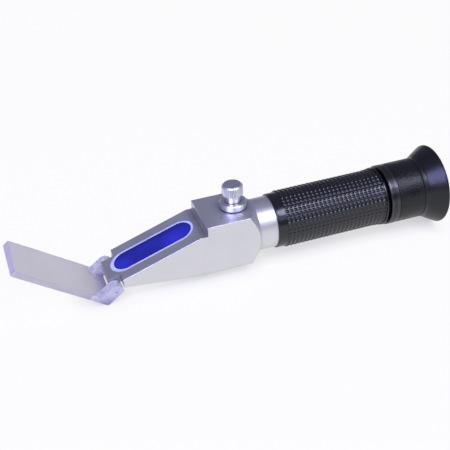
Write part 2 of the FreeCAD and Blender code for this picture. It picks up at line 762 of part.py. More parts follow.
def make_calibration_knob():
    neck_foot = s.block_top + s.gasket_thickness + s.flange_height + s.side_play
    shaft_foot = s.block_top - s.bush_foot - s.shaft_foot
    clip_top = s.block_top - s.bush_foot - s.clip_drop
    clip_bottom = clip_top - s.clip_thickness
    groove = s.shaft_radius - s.clip_groove_depth
    head_foot = neck_foot + s.neck_height
    top = head_foot + s.head_height
    body = upright(
        "calibration_knob",
        (0, shaft_foot - s.screw_length),
        (s.screw_radius, shaft_foot - s.screw_length),
        (s.screw_radius, shaft_foot),
        (s.shaft_radius, shaft_foot),
        (s.shaft_radius, clip_bottom - s.seat_gap),
        (groove, clip_bottom - s.seat_gap),
        (groove, clip_top + s.seat_gap),
        (s.shaft_radius, clip_top + s.seat_gap),
        (s.shaft_radius, neck_foot),
        (s.neck_radius, neck_foot),
        (s.neck_radius, head_foot),
        (s.head_radius - s.knurl_depth, head_foot),
        (s.head_radius, head_foot + s.knurl_depth),
        (s.head_radius, top - s.head_chamfer),
        (s.head_radius - s.head_chamfer, top),
        (0, top),
    )

    # One knurl groove down the head's side, repeated all round
    groove_sketch = new_sketch(body, "XY_Plane", (0, 0, top))
    draw_outline(
        groove_sketch,
        (s.head_radius - s.knurl_depth, 0),
        (s.head_radius + s.knurl_depth, -s.knurl_width),
        (s.head_radius + s.knurl_depth, s.knurl_width),
    )
    cut = add_pocket(body, groove_sketch, s.head_height)
    knurl = body.newObject("PartDesign::PolarPattern", "knurl")
    knurl.Originals = [cut]
    knurl.Axis = (groove_sketch, ["N_Axis"])
    knurl.Angle = 360
    knurl.setExpression("Occurrences", s.knurl_count.text)
    body.Tip = knurl
    doc.recompute()


def make_knob_clip():
    top = s.block_top - s.bush_foot - s.clip_drop
    bottom = top - s.clip_thickness
    inner = s.shaft_radius - s.clip_groove_depth + s.seat_gap
    outer = inner + s.clip_width
    body = upright("knob_retaining_clip", (inner, bottom), (outer, bottom), (outer, top), (inner, top))
    mouth = new_sketch(body, "XY_Plane", (0, 0, top))
    draw_rectangle(mouth, 0, -inner * 0.75, outer + 1, inner * 0.75)
    add_pocket(body, mouth, s.clip_thickness)


# Objective on its carrier, lifted by the calibration screw

def make_objective_carrier():
    body = new_body("objective_carrier", (0, 0, s.axis_height))
    half = s.chamber_half_width - s.running_gap
    shoulder = root(s.carrier_radius * s.carrier_radius - half * half)
    foot = root(s.carrier_radius * s.carrier_radius - s.carrier_bottom * s.carrier_bottom)
    section = new_sketch(body, "YZ_Plane")
    draw_outline(
        section,
        (foot, -s.carrier_bottom), Arc(0, 0),
        (half, -shoulder),
        (half, shoulder), Arc(0, 0),
        (-half, shoulder),
        (-half, -shoulder), Arc(0, 0),
        (-foot, -s.carrier_bottom),
    )
    add_pad(body, section, 2 * s.carrier_half_length, midplane=True)
    lens_bore = s.objective_radius + s.seat_gap
    lip = -s.carrier_half_length + s.objective_lip_length
    through = s.objective_radius - s.objective_lip
    bore = draw_outline(
        new_sketch(body, "XZ_Plane"),
        (-s.carrier_half_length - 1, 0),
        (s.carrier_half_length + 1, 0),
        (s.carrier_half_length + 1, lens_bore),
        (lip, lens_bore),
        (lip, through),
        (-s.carrier_half_length - 1, through),
    )
    add_turned(body, bore, "PartDesign::Groove")
    hole = new_sketch(body, "XY_Plane", (0, 0, s.carrier_radius))
    draw_circle(hole, 0, 0, s.screw_radius + s.running_gap)
    add_pocket(body, hole, s.carrier_hole_depth)


def objective_places():
    """Edges of the crown lens, the cemented faces and the flint lens along the tube."""
    crown = -s.carrier_half_length + s.objective_lip_length + s.objective_seat_gap
    cement = crown + s.crown_edge
    return crown, cement, cement + s.flint_edge


def make_objective_lenses():
    crown, cement, flint = objective_places()
    radius = s.objective_radius
    front_centre = crown - s.crown_bulge + curve_radius(s.crown_bulge, radius)
    crown_centre = cement + s.cement_bulge - curve_radius(s.cement_bulge, radius)
    along_tube(
        "objective_crown_lens",
        (crown - s.crown_bulge, 0),
        (cement + s.cement_bulge, 0), Arc(crown_centre, 0),
        (cement, radius),
        (crown, radius), Arc(front_centre, 0),
    )
    glue = s.seat_gap
    along_tube(
        "objective_flint_lens",
        (cement + s.cement_bulge + glue, 0),
        (flint, 0),
        (flint, radius),
        (cement + glue, radius), Arc(crown_centre + glue, 0, clockwise=True),
    )
    ring_start = flint + s.seat_gap
    tube_ring(
        "objective_retaining_ring",
        ring_start,
        ring_start + s.objective_ring_length,
        radius - s.objective_lip,
        radius,
    )


def make_return_spring():
    """A bowed leaf between the chamber's floor and the carrier's flat underside."""
    body = new_body("carrier_return_spring", (0, 0, s.axis_height))
    top = -s.carrier_bottom - s.spring_clear
    ends = top - s.spring_rise
    span = s.spring_half_span
    radius = curve_radius(s.spring_rise, span)
    leaf = new_sketch(body, "XZ_Plane")
    thick = s.spring_thickness
    draw_outline(
        leaf,
        (span, ends - thick),
        (span, ends), Arc(0, top - radius),
        (-span, ends),
        (-span, ends - thick), Arc(0, top - radius - thick, clockwise=True),
    )
    add_pad(body, leaf, 2 * s.spring_half_width, midplane=True)


# Tube with its seal, lock screw, stop, grip and reticle

def make_barrel():
    start = s.collar_end - s.socket_depth + s.spigot_gap
    spigot = s.socket_radius - s.seat_gap
    groove = s.socket_radius - 2 * s.seal_cord_radius - 2 * s.seat_gap
    groove_start = s.seal_position - s.seal_groove_width / 2
    groove_end = s.seal_position + s.seal_groove_width / 2
    body = along_tube(
        "barrel",
        (start, s.tube_bore),
        (s.reticle_shoulder, s.tube_bore),
        (s.reticle_shoulder, s.cell_bore),
        (s.focus_thread_end, s.cell_bore),
        (s.focus_thread_end, s.focus_thread_radius),
        (s.tube_end, s.focus_thread_radius),
        (s.tube_end, s.tube_radius),
        (s.collar_end, s.tube_radius),
        (s.collar_end, spigot),
        (groove_end, spigot),
        (groove_end, groove),
        (groove_start, groove),
        (groove_start, spigot),
        (start, spigot),
    )
    bite = new_sketch(body, "XY_Plane", (0, 0, -s.socket_radius + s.lock_screw_bite))
    draw_circle(bite, s.lock_screw_position, 0, s.lock_screw_radius + s.seat_gap)
    add_pocket(body, bite, s.lock_screw_bite)
    guide = new_sketch(body, "XY_Plane", (0, 0, s.tube_radius + 1))
    draw_circle(guide, s.guide_pin_position, 0, s.guide_pin_radius + s.seat_gap)
    add_pocket(body, guide, s.tube_radius - s.tube_bore / 2)


def make_barrel_seal():
    body = new_body("barrel_seal", (0, 0, s.axis_height))
    cord = new_sketch(body, "XZ_Plane")
    centre = s.socket_radius - s.seal_cord_radius - s.seat_gap
    draw_circle(cord, s.seal_position, centre, s.seal_cord_radius)
    add_turned(body, cord)


def make_lock_screw():
    body = new_body("barrel_lock_screw", (s.lock_screw_position, 0, s.axis_height))
    top = -s.socket_radius + s.lock_screw_bite - s.seat_gap
    bottom = -s.collar_radius + s.lock_screw_inset
    add_turned(
        body,
        draw_outline(
            new_sketch(body, "XZ_Plane"),
            (0, top),
            (0, bottom + s.lock_socket_depth),
            (s.lock_socket_radius, bottom + s.lock_socket_depth),
            (s.lock_socket_radius, bottom),
            (s.lock_screw_radius, bottom),
            (s.lock_screw_radius, top),
        ),
        axis="V_Axis",
    )


def make_aperture_stop():
    end = s.stop_position + s.stop_thickness
    tube_ring("aperture_stop", s.stop_position, end, s.stop_hole_radius, s.tube_bore - s.seat_gap)


def make_grip_sleeve():
    start = s.collar_end + s.seat_gap
    collar = start + s.grip_collar_length
    end = s.tube_end - s.seat_gap
    flare = end - s.grip_flare_length
    inner = s.tube_radius + s.seat_gap
    body_radius = s.tube_radius + s.grip_wall
    collar_radius = s.tube_radius + s.grip_collar_wall
    flare_radius = s.tube_radius + s.grip_flare_wall
    lip = s.grip_lip
    along_tube(
        "grip_sleeve",
        (start, inner),
        (end, inner),
        (end, flare_radius - lip), Arc(end - lip, flare_radius - lip),
        (end - lip, flare_radius),
        (flare, body_radius),
        (collar, body_radius),
        (collar, collar_radius),
        (start + lip, collar_radius), Arc(start + lip, collar_radius - lip),
        (start, collar_radius - lip),
    )


def make_reticle_set():
    start = s.reticle_shoulder
    seat = s.reticle_seat
    glass_end = seat + s.reticle_thickness
    ring_start = glass_end + s.seat_gap
    end = s.reticle_end
    outer = s.cell_bore - s.seat_gap
    bore = s.reticle_radius + s.seat_gap
    clear = s.reticle_radius - s.reticle_lip
    along_tube(
        "reticle_cell",
        (start, clear),
        (seat, clear),
        (seat, bore),
        (end, bore),
        (end, outer),
        (start, outer),
    )
    glass_start = seat + s.seat_gap
    along_tube(
        "reticle",
        (glass_start, 0),
        (glass_end, 0),
        (glass_end, s.reticle_radius),
        (glass_start, s.reticle_radius),
    )
    tube_ring("reticle_retaining_ring", ring_start, end, clear, s.reticle_radius)


# Eyepiece: a lens cell that slides, and the focus ring that moves it

def make_lens_cell():
    """The cell slides in the tube; its slot keeps it from turning and its flange holds the ring."""
    end = s.cell_end
    outer = s.cell_bore - s.running_gap
    bore = s.lens_radius + s.seat_gap
    clear = s.lens_radius - s.lens_lip
    flange_start = s.cell_flange_start
    groove_end = s.web_front - s.side_play
    groove_start = groove_end - s.snap_ring_thickness
    groove = outer - s.snap_ring_bite
    body = along_tube(
        "lens_cell",
        (s.cell_front, bore),
        (s.field_seat, bore),
        (s.field_seat, clear),
        (s.eye_seat, clear),
        (s.eye_seat, bore),
        (end, bore),
        (end, s.cell_flange_radius),
        (flange_start, s.cell_flange_radius),
        (flange_start, outer),
        (groove_end, outer),
        (groove_end, groove),
        (groove_start - s.seat_gap, groove),
        (groove_start - s.seat_gap, outer),
        (s.cell_front, outer),
    )
    slot = new_sketch(body, "XY_Plane", (0, 0, s.cell_bore + 1))
    reach = s.focus_travel + s.guide_pin_radius + s.body_gap
    draw_stadium(
        slot,
        s.guide_pin_position - reach,
        s.guide_pin_position + reach,
        s.guide_pin_radius + s.running_gap,
    )
    add_pocket(body, slot, s.cell_bore / 2)


def make_snap_ring():
    end = s.web_front - s.side_play - s.seat_gap
    inner = s.cell_bore - s.running_gap - s.snap_ring_bite + s.seat_gap
    start = end - s.snap_ring_thickness + s.seat_gap
    tube_ring("cell_snap_ring", start, end, inner, inner + s.snap_ring_width)


def make_eyepiece_lenses():
    radius = s.lens_radius
    clear = radius - s.lens_lip
    back = s.field_seat - s.seat_gap
    edge = back - s.field_edge
    along_tube(
        "field_lens",
        (edge - s.field_bulge, 0),
        (back, 0),
        (back, radius),
        (edge, radius), Arc(edge - s.field_bulge + curve_radius(s.field_bulge, radius), 0),
    )
    ring_end = edge - s.lens_ring_gap
    tube_ring("field_lens_retaining_ring", ring_end - s.field_ring_length, ring_end, clear, radius)

    front = s.eye_seat + s.seat_gap
    edge = front + s.eye_edge
    along_tube(
        "eye_lens",
        (front, 0),
        (edge + s.eye_bulge, 0), Arc(edge + s.eye_bulge - curve_radius(s.eye_bulge, radius), 0),
        (edge, radius),
        (front, radius),
    )
    ring_start = edge + s.lens_ring_gap
    tube_ring("eye_lens_retaining_ring", ring_start, s.cell_end, clear, radius)


def make_guide_pin():
    body = new_body("focus_guide_pin", (s.guide_pin_position, 0, s.axis_height))
    pin = new_sketch(body, "XY_Plane", (0, 0, s.tube_radius))
    draw_circle(pin, 0, 0, s.guide_pin_radius)
    pad = add_pad(body, pin, s.tube_radius - s.cell_bore + s.guide_pin_reach)
    pad.Reversed = True
    doc.recompute()


def make_focus_ring():
    front = s.ring_front
    thread = s.focus_thread_radius + s.running_gap
    web_end = s.web_front + s.web_thickness
    under_band = s.focus_ring_radius - s.band_thickness
    chamfer = s.focus_ring_chamfer
    along_tube(
        "focus_ring",
        (front, thread),
        (s.web_front, thread),
        (s.web_front, s.cell_bore),
        (web_end, s.cell_bore),
        (web_end, s.cup_socket_radius),
        (s.spigot_end, s.cup_socket_radius),
        (s.spigot_end, s.cup_spigot_radius),
        (s.band_end, s.cup_spigot_radius),
        (s.band_end, under_band),
        (s.band_start, under_band),
        (s.band_start, s.focus_ring_radius),
        (front + chamfer, s.focus_ring_radius),
        (front, s.focus_ring_radius - chamfer),
    )


def make_focus_ring_band():
    start = s.band_start + s.seat_gap
    inner = s.focus_ring_radius - s.band_thickness + s.seat_gap
    tube_ring("focus_ring_band", start, s.band_end, inner, s.focus_ring_radius)


def make_eyecup():
    start = s.band_end + s.seat_gap
    throat = s.spigot_end + s.seat_gap
    rim = start + s.cup_length
    bore = s.cup_spigot_radius + s.seat_gap
    waist = start + s.cup_waist_length
    lip = s.cup_rim_round
    along_tube(
        "eyecup",
        (start, bore),
        (throat, bore),
        (throat, s.cup_throat_radius),
        (rim, s.cup_rim_radius - s.cup_rim_width),
        (rim, s.cup_rim_radius - lip), Arc(rim - lip, s.cup_rim_radius - lip),
        (rim - lip, s.cup_rim_radius),
        (waist, s.focus_ring_radius),
        (start, s.focus_ring_radius),
    )


def check_and_write():
    """Make sure that every object is whole, then write each piece to its own file."""
    os.makedirs("parts", exist_ok=True)
    faults = []
    for item in doc.Objects:
        if "Invalid" in item.State or "Error" in item.State:
            faults.append(item.Label)
    bodies = [item for item in doc.Objects if item.TypeId == "PartDesign::Body"]
    for body in bodies:
        if body.Shape.isNull() or not body.Shape.isValid() or not body.Shape.Solids:
            faults.append(body.Label)
    if faults:
        raise RuntimeError("faulty: " + ", ".join(faults))
    for body in bodies:
        body.Shape.exportStep(os.path.join("parts", f"{body.Label}.step"))
        box = body.Shape.BoundBox
        print(
            f"{body.Label}: {len(body.Shape.Solids)} solid, {body.Shape.Volume:.1f} mm3, "
            f"x {box.XMin:.2f} to {box.XMax:.2f}, y {box.YMin:.2f} to {box.YMax:.2f}, "
            f"z {box.ZMin:.2f} to {box.ZMax:.2f}"
        )


doc = FreeCAD.newDocument("refractometer")
s = make_sheet()
work_out_sizes(s)

# Hinge axis: below the plane of the slope, near the tongue's end
hinge_x = -s.notch_from_screw - s.tongue_length + s.hinge_behind_tip
hinge_z = slope_height(hinge_x) - s.hinge_depth / cosine(s.slope_angle)

make_main_body()
make_prism()
make_prism_seal()
make_hinge_pin()
make_cover_plate()
make_calibration_bush()
make_bush_gasket()
make_calibration_knob()
make_knob_clip()
make_objective_carrier()
make_objective_lenses()
make_return_spring()
make_barrel()
make_barrel_seal()
make_lock_screw()
make_aperture_stop()
make_grip_sleeve()
make_reticle_set()
make_lens_cell()
make_snap_ring()
make_eyepiece_lenses()
make_guide_pin()
make_focus_ring()
make_focus_ring_band()
make_eyecup()
doc.recompute()
check_and_write()
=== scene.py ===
# %% [markdown]
# A handheld refractometer, dressed for a product picture.
# A drop of liquid goes on the blue window, the cover presses it flat, and the eye reads a scale
# through the tube. The instrument was drawn and packed as plain solids first. This lesson loads
# those solids as a fixed frame, gives each one a finish made of nodes, and builds in mesh code
# the rubber and the fine pieces that a plain solid can't show.
# Lengths are in metres. +X runs along the tube to the eyepiece, +Z is up, and the camera looks
# from the -Y side.

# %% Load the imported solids
import json
import math

import bmesh
import bpy
from mathutils import Matrix, Vector, noise


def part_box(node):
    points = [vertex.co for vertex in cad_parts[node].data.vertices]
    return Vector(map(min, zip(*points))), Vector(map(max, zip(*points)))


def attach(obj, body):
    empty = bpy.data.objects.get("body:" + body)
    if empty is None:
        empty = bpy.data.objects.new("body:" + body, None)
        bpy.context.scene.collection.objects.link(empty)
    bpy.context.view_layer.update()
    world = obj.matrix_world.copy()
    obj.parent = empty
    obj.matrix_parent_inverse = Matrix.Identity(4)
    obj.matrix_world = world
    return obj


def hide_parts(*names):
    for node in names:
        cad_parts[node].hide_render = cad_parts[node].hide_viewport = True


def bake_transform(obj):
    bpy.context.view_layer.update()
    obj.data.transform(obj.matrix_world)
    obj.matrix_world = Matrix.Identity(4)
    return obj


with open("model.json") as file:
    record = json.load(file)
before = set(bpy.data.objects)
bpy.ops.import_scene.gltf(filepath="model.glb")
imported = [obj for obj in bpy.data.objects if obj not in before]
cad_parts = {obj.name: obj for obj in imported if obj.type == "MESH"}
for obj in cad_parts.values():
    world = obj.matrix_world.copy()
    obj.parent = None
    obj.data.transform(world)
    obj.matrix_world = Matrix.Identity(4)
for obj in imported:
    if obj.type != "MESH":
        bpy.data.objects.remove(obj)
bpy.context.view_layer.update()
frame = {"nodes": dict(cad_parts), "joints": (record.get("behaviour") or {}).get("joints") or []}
solids = frame["nodes"]
MM = 0.001
print("solids loaded:", len(solids))

# %% [markdown]
# The camera comes first, because everything else is judged through it. It could be aimed by eye,
# but a product picture has vanishing lines, and its place, direction and focal length are set to
# agree with them. The camera is a little tilted, as a camera held in the hand is. The view
# transform is Standard, so a colour renders about as it is written.

# %% Camera
EYE_PLACE = Vector((-111.13, -350.62, 257.77)) * MM
EYE_TURN = math.radians(16.88)
EYE_RISE = math.radians(33.37)
EYE_ROLL = math.radians(-3.68)
LENS_LENGTH = 72.53
SENSOR_WIDTH = 36.0
NEAREST_SEEN = 0.01
FARTHEST_SEEN = 20

back = Vector((
    -math.sin(EYE_TURN) * math.cos(EYE_RISE),
    -math.cos(EYE_TURN) * math.cos(EYE_RISE),
    math.sin(EYE_RISE),
))
level_right = Vector((math.cos(EYE_TURN), -math.sin(EYE_TURN), 0))
level_up = back.cross(level_right)
right = math.cos(EYE_ROLL) * level_right + math.sin(EYE_ROLL) * level_up
up = math.cos(EYE_ROLL) * level_up - math.sin(EYE_ROLL) * level_right
eye = bpy.data.cameras.new("eye")
eye.lens = LENS_LENGTH
eye.sensor_width = SENSOR_WIDTH
eye.clip_start = NEAREST_SEEN
eye.clip_end = FARTHEST_SEEN
camera = bpy.data.objects.new("camera", eye)
aim = Matrix((right, up, back)).transposed().to_4x4()
camera.matrix_world = Matrix.Translation(EYE_PLACE) @ aim
bpy.context.scene.collection.objects.link(camera)
bpy.context.scene.camera = camera
bpy.context.scene.view_settings.view_transform = "Standard"
print("camera distance:", round(EYE_PLACE.length, 3), "m")

# %% [markdown]
# Every finish here is a small tree of nodes. It could be wired by hand in the shader editor, but
# in code a finish can be read, repeated and compared. One helper adds a node, sets its options
# and fills in its sockets, each with a plain value or with the output of another node.

# %% Add a node
def add_node(holder, kind, inputs=None, **settings):
    """A node of a finish or of the room, with its settings and its sockets filled in."""
    node = holder.node_tree.nodes.new(kind)
    for name, value in settings.items():
        setattr(node, name, value)
    for socket, value in (inputs or {}).items():
        if isinstance(value, bpy.types.NodeSocket):
            holder.node_tree.links.new(value, node.inputs[socket])
        else:
            node.inputs[socket].default_value = value
    return node


print("helper ready:", add_node.__name__)

# %% [markdown]
# A surface with no variation looks like a drawing. The patterns here read object coordinates,
# which are metres in the instrument's own frame, so a scale of 2000 means grains half a
# millimetre across. An image could do it too, but a pattern made by nodes has no seams, needs no
# unwrapping and stays sharp at any distance.

# %% A speckle pattern
def places(holder):
    """Where a point of the surface is, in metres."""
    return add_node(holder, "ShaderNodeTexCoord").outputs["Object"]


def speckle(holder, grains_per_metre, detail=3.0, roughness=0.5):
    """Soft random values from 0 to 1."""
    inputs = {
        "Vector": places(holder),
        "Scale": grains_per_metre,
        "Detail": detail,
        "Roughness": roughness,
    }
    return add_node(holder, "ShaderNodeTexNoise", inputs).outputs["Fac"]


print("helper ready:", speckle.__name__)

# %% [markdown]
# A pattern gives a factor, a number from 0 to 1 at each point. The next helpers put factors to
# use: one turns a factor into colours, one stretches it to other limits, one mixes two colours
# by it, and one does a step of arithmetic, such as multiplying two masks to get their overlap.
# Soft noise seldom leaves the middle of its range, so a stretch often starts from that middle.

# %% Factors and colours
NOISE_MIDDLE = (0.3, 0.7)


def tones(holder, factor, *stops):
    """Colours for a factor, from (place, colour) stops."""
    node = add_node(holder, "ShaderNodeValToRGB", {"Fac": factor})
    elements = node.color_ramp.elements
    while len(elements) < len(stops):
        elements.new(0.5)
    for element, (place, colour) in zip(elements, stops):
        element.position = place
        element.color = (*colour, 1)
    return node.outputs["Color"]


def levels(holder, factor, low, high, start=0.0, end=1.0):
    """A factor stretched from start and end to low and high."""
    inputs = {"Value": factor, "From Min": start, "From Max": end, "To Min": low, "To Max": high}
    return add_node(holder, "ShaderNodeMapRange", inputs).outputs["Result"]


def mixed(holder, factor, first, second):
    """Two colours mixed by a factor."""
    inputs = {0: factor}
    for socket, colour in ((6, first), (7, second)):
        wired = isinstance(colour, bpy.types.NodeSocket)
        inputs[socket] = colour if wired else (*colour, 1)
    return add_node(holder, "ShaderNodeMix", inputs, data_type="RGBA").outputs[2]


def sums(holder, operation, first, second):
    """One arithmetic step between two factors."""
    inputs = {0: first, 1: second}
    return add_node(holder, "ShaderNodeMath", inputs, operation=operation).outputs[0]


print("helpers ready:", ", ".join(helper.__name__ for helper in (tones, levels, mixed, sums)))

# %% [markdown]
# Each finish is one material with one Principled shader, which does metal, glass, plastic and
# rubber alike. A number that is the same all over goes straight into the shader's socket, and
# only what varies comes from nodes. Relief that is too fine to model comes from a bump node. Its
# depth is given in metres, so it stays true to scale.

# %% A finish with its shader
def new_finish(name, colour, roughness, metal=0.0):
    """A finish with one shader, and that shader."""
    finish = bpy.data.materials.new(name)
    finish.use_nodes = True
    shader = finish.node_tree.nodes["Principled BSDF"]
    shader.inputs["Base Color"].default_value = (*colour, 1)
    shader.inputs["Roughness"].default_value = roughness
    shader.inputs["Metallic"].default_value = metal
    return finish, shader


def feed(finish, shader, socket, value):
    """Wire a node's output to one of the shader's sockets."""
    finish.node_tree.links.new(value, shader.inputs[socket])


def roughen(finish, shader, height, depth, strength=1.0):
    """Small relief on the surface, depth metres deep where the height goes from 0 to 1."""
    inputs = {"Height": height, "Distance": depth, "Strength": strength}
    feed(finish, shader, "Normal", add_node(finish, "ShaderNodeBump", inputs).outputs["Normal"])


def coat_solid(finish, *names):
    """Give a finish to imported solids."""
    for name in names:
        mesh = solids[name].data
        mesh.materials.clear()
        mesh.materials.append(finish)
    print(finish.name, "on", ", ".join(names))


print("packed solids to finish:", len(solids))

# %% [markdown]
# Painted shade and wear follow the shape. The ambient occlusion node tells how closed in a point
# is. Looking outward it finds hollows, where shade is painted into the colour, and looking inward
# it finds sharp rims, which hands rub bright. Marks painted by hand would take longer, and they
# would miss the edges as soon as a size changed.

# %% Hollows and rims
def hollows(finish, reach, low, high):
    """From 0 in the open to 1 in corners that other faces close in on."""
    inputs = {"Distance": reach}
    sky = add_node(finish, "ShaderNodeAmbientOcclusion", inputs).outputs["AO"]
    return levels(finish, sky, 1.0, 0.0, low, high)


def rims(finish, reach):
    """From 0 on flat faces to 1 along sharp edges, where handling rubs the surface."""
    inputs = {"Distance": reach}
    depth = add_node(finish, "ShaderNodeAmbientOcclusion", inputs, inside=True).outputs["AO"]
    return levels(finish, depth, 0.0, 1.0, 0.1, 0.7)


print("helpers ready:", hollows.__name__, "and", rims.__name__)

# %% [markdown]
# The block, the cone and the collar are one piece of aluminium, blasted with fine beads and
# anodised. A mirror finish would be wrong and a painted grey would be dead: what makes it look
# like metal is a clean metallic shader, fairly rough, with a grain too small to see singly. A
# second, much larger pattern changes the tone by a few percent, as handling does. Hollows, such
# as the foot of the step, get a dark and cool painted shade, and sharp edges are a little brighter
# where the anodising is rubbed, more so in some places than in others.

# %% Blasted aluminium
BEAD_MARKS = 5200
BEAD_DEPTH = 0.02 * MM
HANDLING_CLOUDS = 70
ALUMINIUM_TONES = (
    (0.25, (0.79, 0.79, 0.805)),
    (0.5, (0.82, 0.81, 0.83)),
    (0.75, (0.85, 0.84, 0.85)),
)
# The dark cool colour of the painted shade in hollows.
HOLLOW_SHADE_ALUMINIUM = (0.13, 0.13, 0.22)
RUBBED_ALUMINIUM = (0.92, 0.92, 0.94)
HOLLOW_REACH = 7 * MM
RUB_REACH = 0.5 * MM


def make_blasted_aluminium():
    """Bead-blasted and anodised, with painted shade in the hollows and rubbed along the edges."""
    finish, shader = new_finish("blasted_aluminium", (0.78, 0.775, 0.81), 0.4, metal=1.0)
    cloud = speckle(finish, HANDLING_CLOUDS, detail=3.0)
    tone = tones(finish, cloud, *ALUMINIUM_TONES)
    # Painted shade: hollows are mixed towards a dark cool colour.
    closed_in = hollows(finish, HOLLOW_REACH, 0.45, 1.0)
    shaded = mixed(finish, closed_in, tone, HOLLOW_SHADE_ALUMINIUM)
    rubbed = sums(finish, "MULTIPLY", rims(finish, RUB_REACH), levels(finish, cloud, 0.2, 0.6))
    feed(finish, shader, "Base Color", mixed(finish, rubbed, shaded, RUBBED_ALUMINIUM))
    feed(finish, shader, "Roughness", levels(finish, cloud, 0.36, 0.45, *NOISE_MIDDLE))
    roughen(finish, shader, speckle(finish, BEAD_MARKS, detail=2.0), BEAD_DEPTH, 0.6)
    return finish


coat_solid(make_blasted_aluminium(), "main_body")

# %% [markdown]
# Some finishes change from one end of a piece to the other. A mask for that can be measured on
# the surface itself, as the distance along a direction or round a point, in metres. It needs no
# unwrapping, it moves with the piece, and it looks the same from every side.

# %% Distances on a surface
def along(finish, direction, start):
    """Distance of a surface point from a start point, measured in one direction, in metres."""
    inputs = {0: places(finish), 1: tuple(start)}
    offset = add_node(finish, "ShaderNodeVectorMath", inputs, operation="SUBTRACT")
    inputs = {0: offset.outputs["Vector"], 1: tuple(direction)}
    return add_node(finish, "ShaderNodeVectorMath", inputs, operation="DOT_PRODUCT").outputs["Value"]


def glow(finish, centre, radius):
    """From 1 at a point to 0 at a radius round it."""
    inputs = {0: places(finish), 1: tuple(centre)}
    reach = add_node(finish, "ShaderNodeVectorMath", inputs, operation="DISTANCE")
    return levels(finish, reach.outputs["Value"], 1.0, 0.0, 0.0, radius)


print("helpers ready:", along.__name__, "and", glow.__name__)

# %% [markdown]
# The prism's face is polished glass over a dark blue chamber, so it reads as deep blue under a
# mirror. Real glass in a closed metal well would swallow almost all light in a render, so the
# blue is in the body colour here, and the coat carries the reflections. The shade of the well's
# far wall is painted in as a darker band along one side, and two soft spots of painted light sit
# near the ends.

# %% Prism glass
DEEP_BLUES = (
    (0.35, (0.010, 0.014, 0.30)),
    (0.7, (0.016, 0.020, 0.44)),
)
# Painted light: a brighter blue for two soft spots, and a dark blue for the painted shade of the far
# wall.
LIT_BLUE = (0.035, 0.040, 0.62)
WALL_SHADE_BLUE = (0.005, 0.006, 0.08)
# Share of the length, share of the half-width, radius, and most light
LIGHT_SPOTS = (
    (0.76, -0.45, 9 * MM, 0.75),
    (0.10, -0.3, 7 * MM, 0.6),
)
window_low, window_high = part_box("prism")
window_middle = (window_low + window_high) / 2
window_half = (window_high.y - window_low.y) / 2


def window_point(length_share, width_share):
    """A point of the window's face, by its share of the length and of the half-width."""
    low_end = Vector((window_low.x, 0, window_low.z))
    high_end = Vector((window_high.x, 0, window_high.z))
    return low_end.lerp(high_end, length_share) + Vector((0, width_share * window_half, 0))


def make_prism_glass():
    """Polished glass over a blue chamber, with painted shade at the far side and two spots of painted
    light.
    """
    finish, shader = new_finish("prism_glass", (0.012, 0.014, 0.3), 0.08)
    cloud = speckle(finish, 90, detail=2.0)
    blue = tones(finish, cloud, *DEEP_BLUES)
    # Painted light in two soft spots near the ends.
    for length_share, width_share, radius, most in LIGHT_SPOTS:
        spot = glow(finish, window_point(length_share, width_share), radius)
        blue = mixed(finish, sums(finish, "MULTIPLY", spot, most), blue, LIT_BLUE)
    # Painted shade of the well's far wall along one side.
    across = along(finish, (0, 1, 0), window_middle)
    wall_shade = levels(finish, across, 0.0, 0.8, window_half * 0.35, window_half)
    feed(finish, shader, "Base Color", mixed(finish, wall_shade, blue, WALL_SHADE_BLUE))
    feed(finish, shader, "Roughness", levels(finish, cloud, 0.05, 0.12))
    shader.inputs["IOR"].default_value = 1.52
    shader.inputs["Coat Weight"].default_value = 0.15
    shader.inputs["Coat Roughness"].default_value = 0.04
    return finish


coat_solid(make_prism_glass(), "prism")

# %% [markdown]
# A rim of pale resin holds the prism in its well and keeps liquid out. It is poured and then
# wiped, so it is smooth, a little uneven, and slightly milky. A touch of subsurface scattering
# gives the milkiness that a plain pale plastic lacks.

# %% Sealing resin
def make_sealing_resin():
    """Pale poured resin, slightly milky."""
    finish, shader = new_finish("sealing_resin", (0.72, 0.76, 1.0), 0.3)
    cloud = speckle(finish, 260, detail=3.0)
    tone = tones(finish, cloud, (0.35, (0.66, 0.70, 0.95)), (0.7, (0.78, 0.82, 1.0)))
    feed(finish, shader, "Base Color", tone)
    shader.inputs["Subsurface Weight"].default_value = 0.15
    shader.inputs["Subsurface Scale"].default_value = 0.6 * MM
    roughen(finish, shader, speckle(finish, 1500, detail=2.0), 0.04 * MM, 0.5)
    return finish


coat_solid(make_sealing_resin(), "prism_seal")

# %% [markdown]
# The cover is one piece of acrylic on two ears, with a frosted face that spreads daylight over
# the sample. To give each part of it its own look, the finish has to know where the hinge is and
# which way the open plate runs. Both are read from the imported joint, so they stay right if the
# hinge moves.

# %% Where the cover runs
BLOCK_SLOPE = math.radians(18.43)
hinge = next(joint for joint in frame["joints"] if joint["name"] == "cover_hinge")
hinge_place = Vector(hinge["pos_m"])
opening = math.radians(hinge["range_deg"][1])
plate_way = Vector((math.cos(BLOCK_SLOPE + opening), 0, math.sin(BLOCK_SLOPE + opening)))
end_way = Vector((math.cos(opening), 0, math.sin(opening)))
cover_points = [vertex.co.copy() for vertex in solids["cover_plate"].data.vertices]
plate_reach = max((point - hinge_place).dot(end_way) for point in cover_points)
plate_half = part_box("cover_plate")[1].y
print("the plate reaches", round(plate_reach / MM, 1), "mm from the hinge")

# %% [markdown]
# Four masks tell the parts of the cover apart: the thick ears, the far end, the long edges, and
# the foot of the ears. Four materials would do that too, but with hard borders. The ears' mask
# follows the round root of the plate, so its border bends back at the sides.

# %% Masks on the cover
EAR_REACH = 3.8 * MM
EAR_FADE = 1.2 * MM
EAR_SPREAD = 32
EAR_DEPTH = 5.9 * MM
END_LENGTH = 0.9 * MM
EDGE_WIDTH = 0.5 * MM
FULL_BEFORE = 0.1 * MM


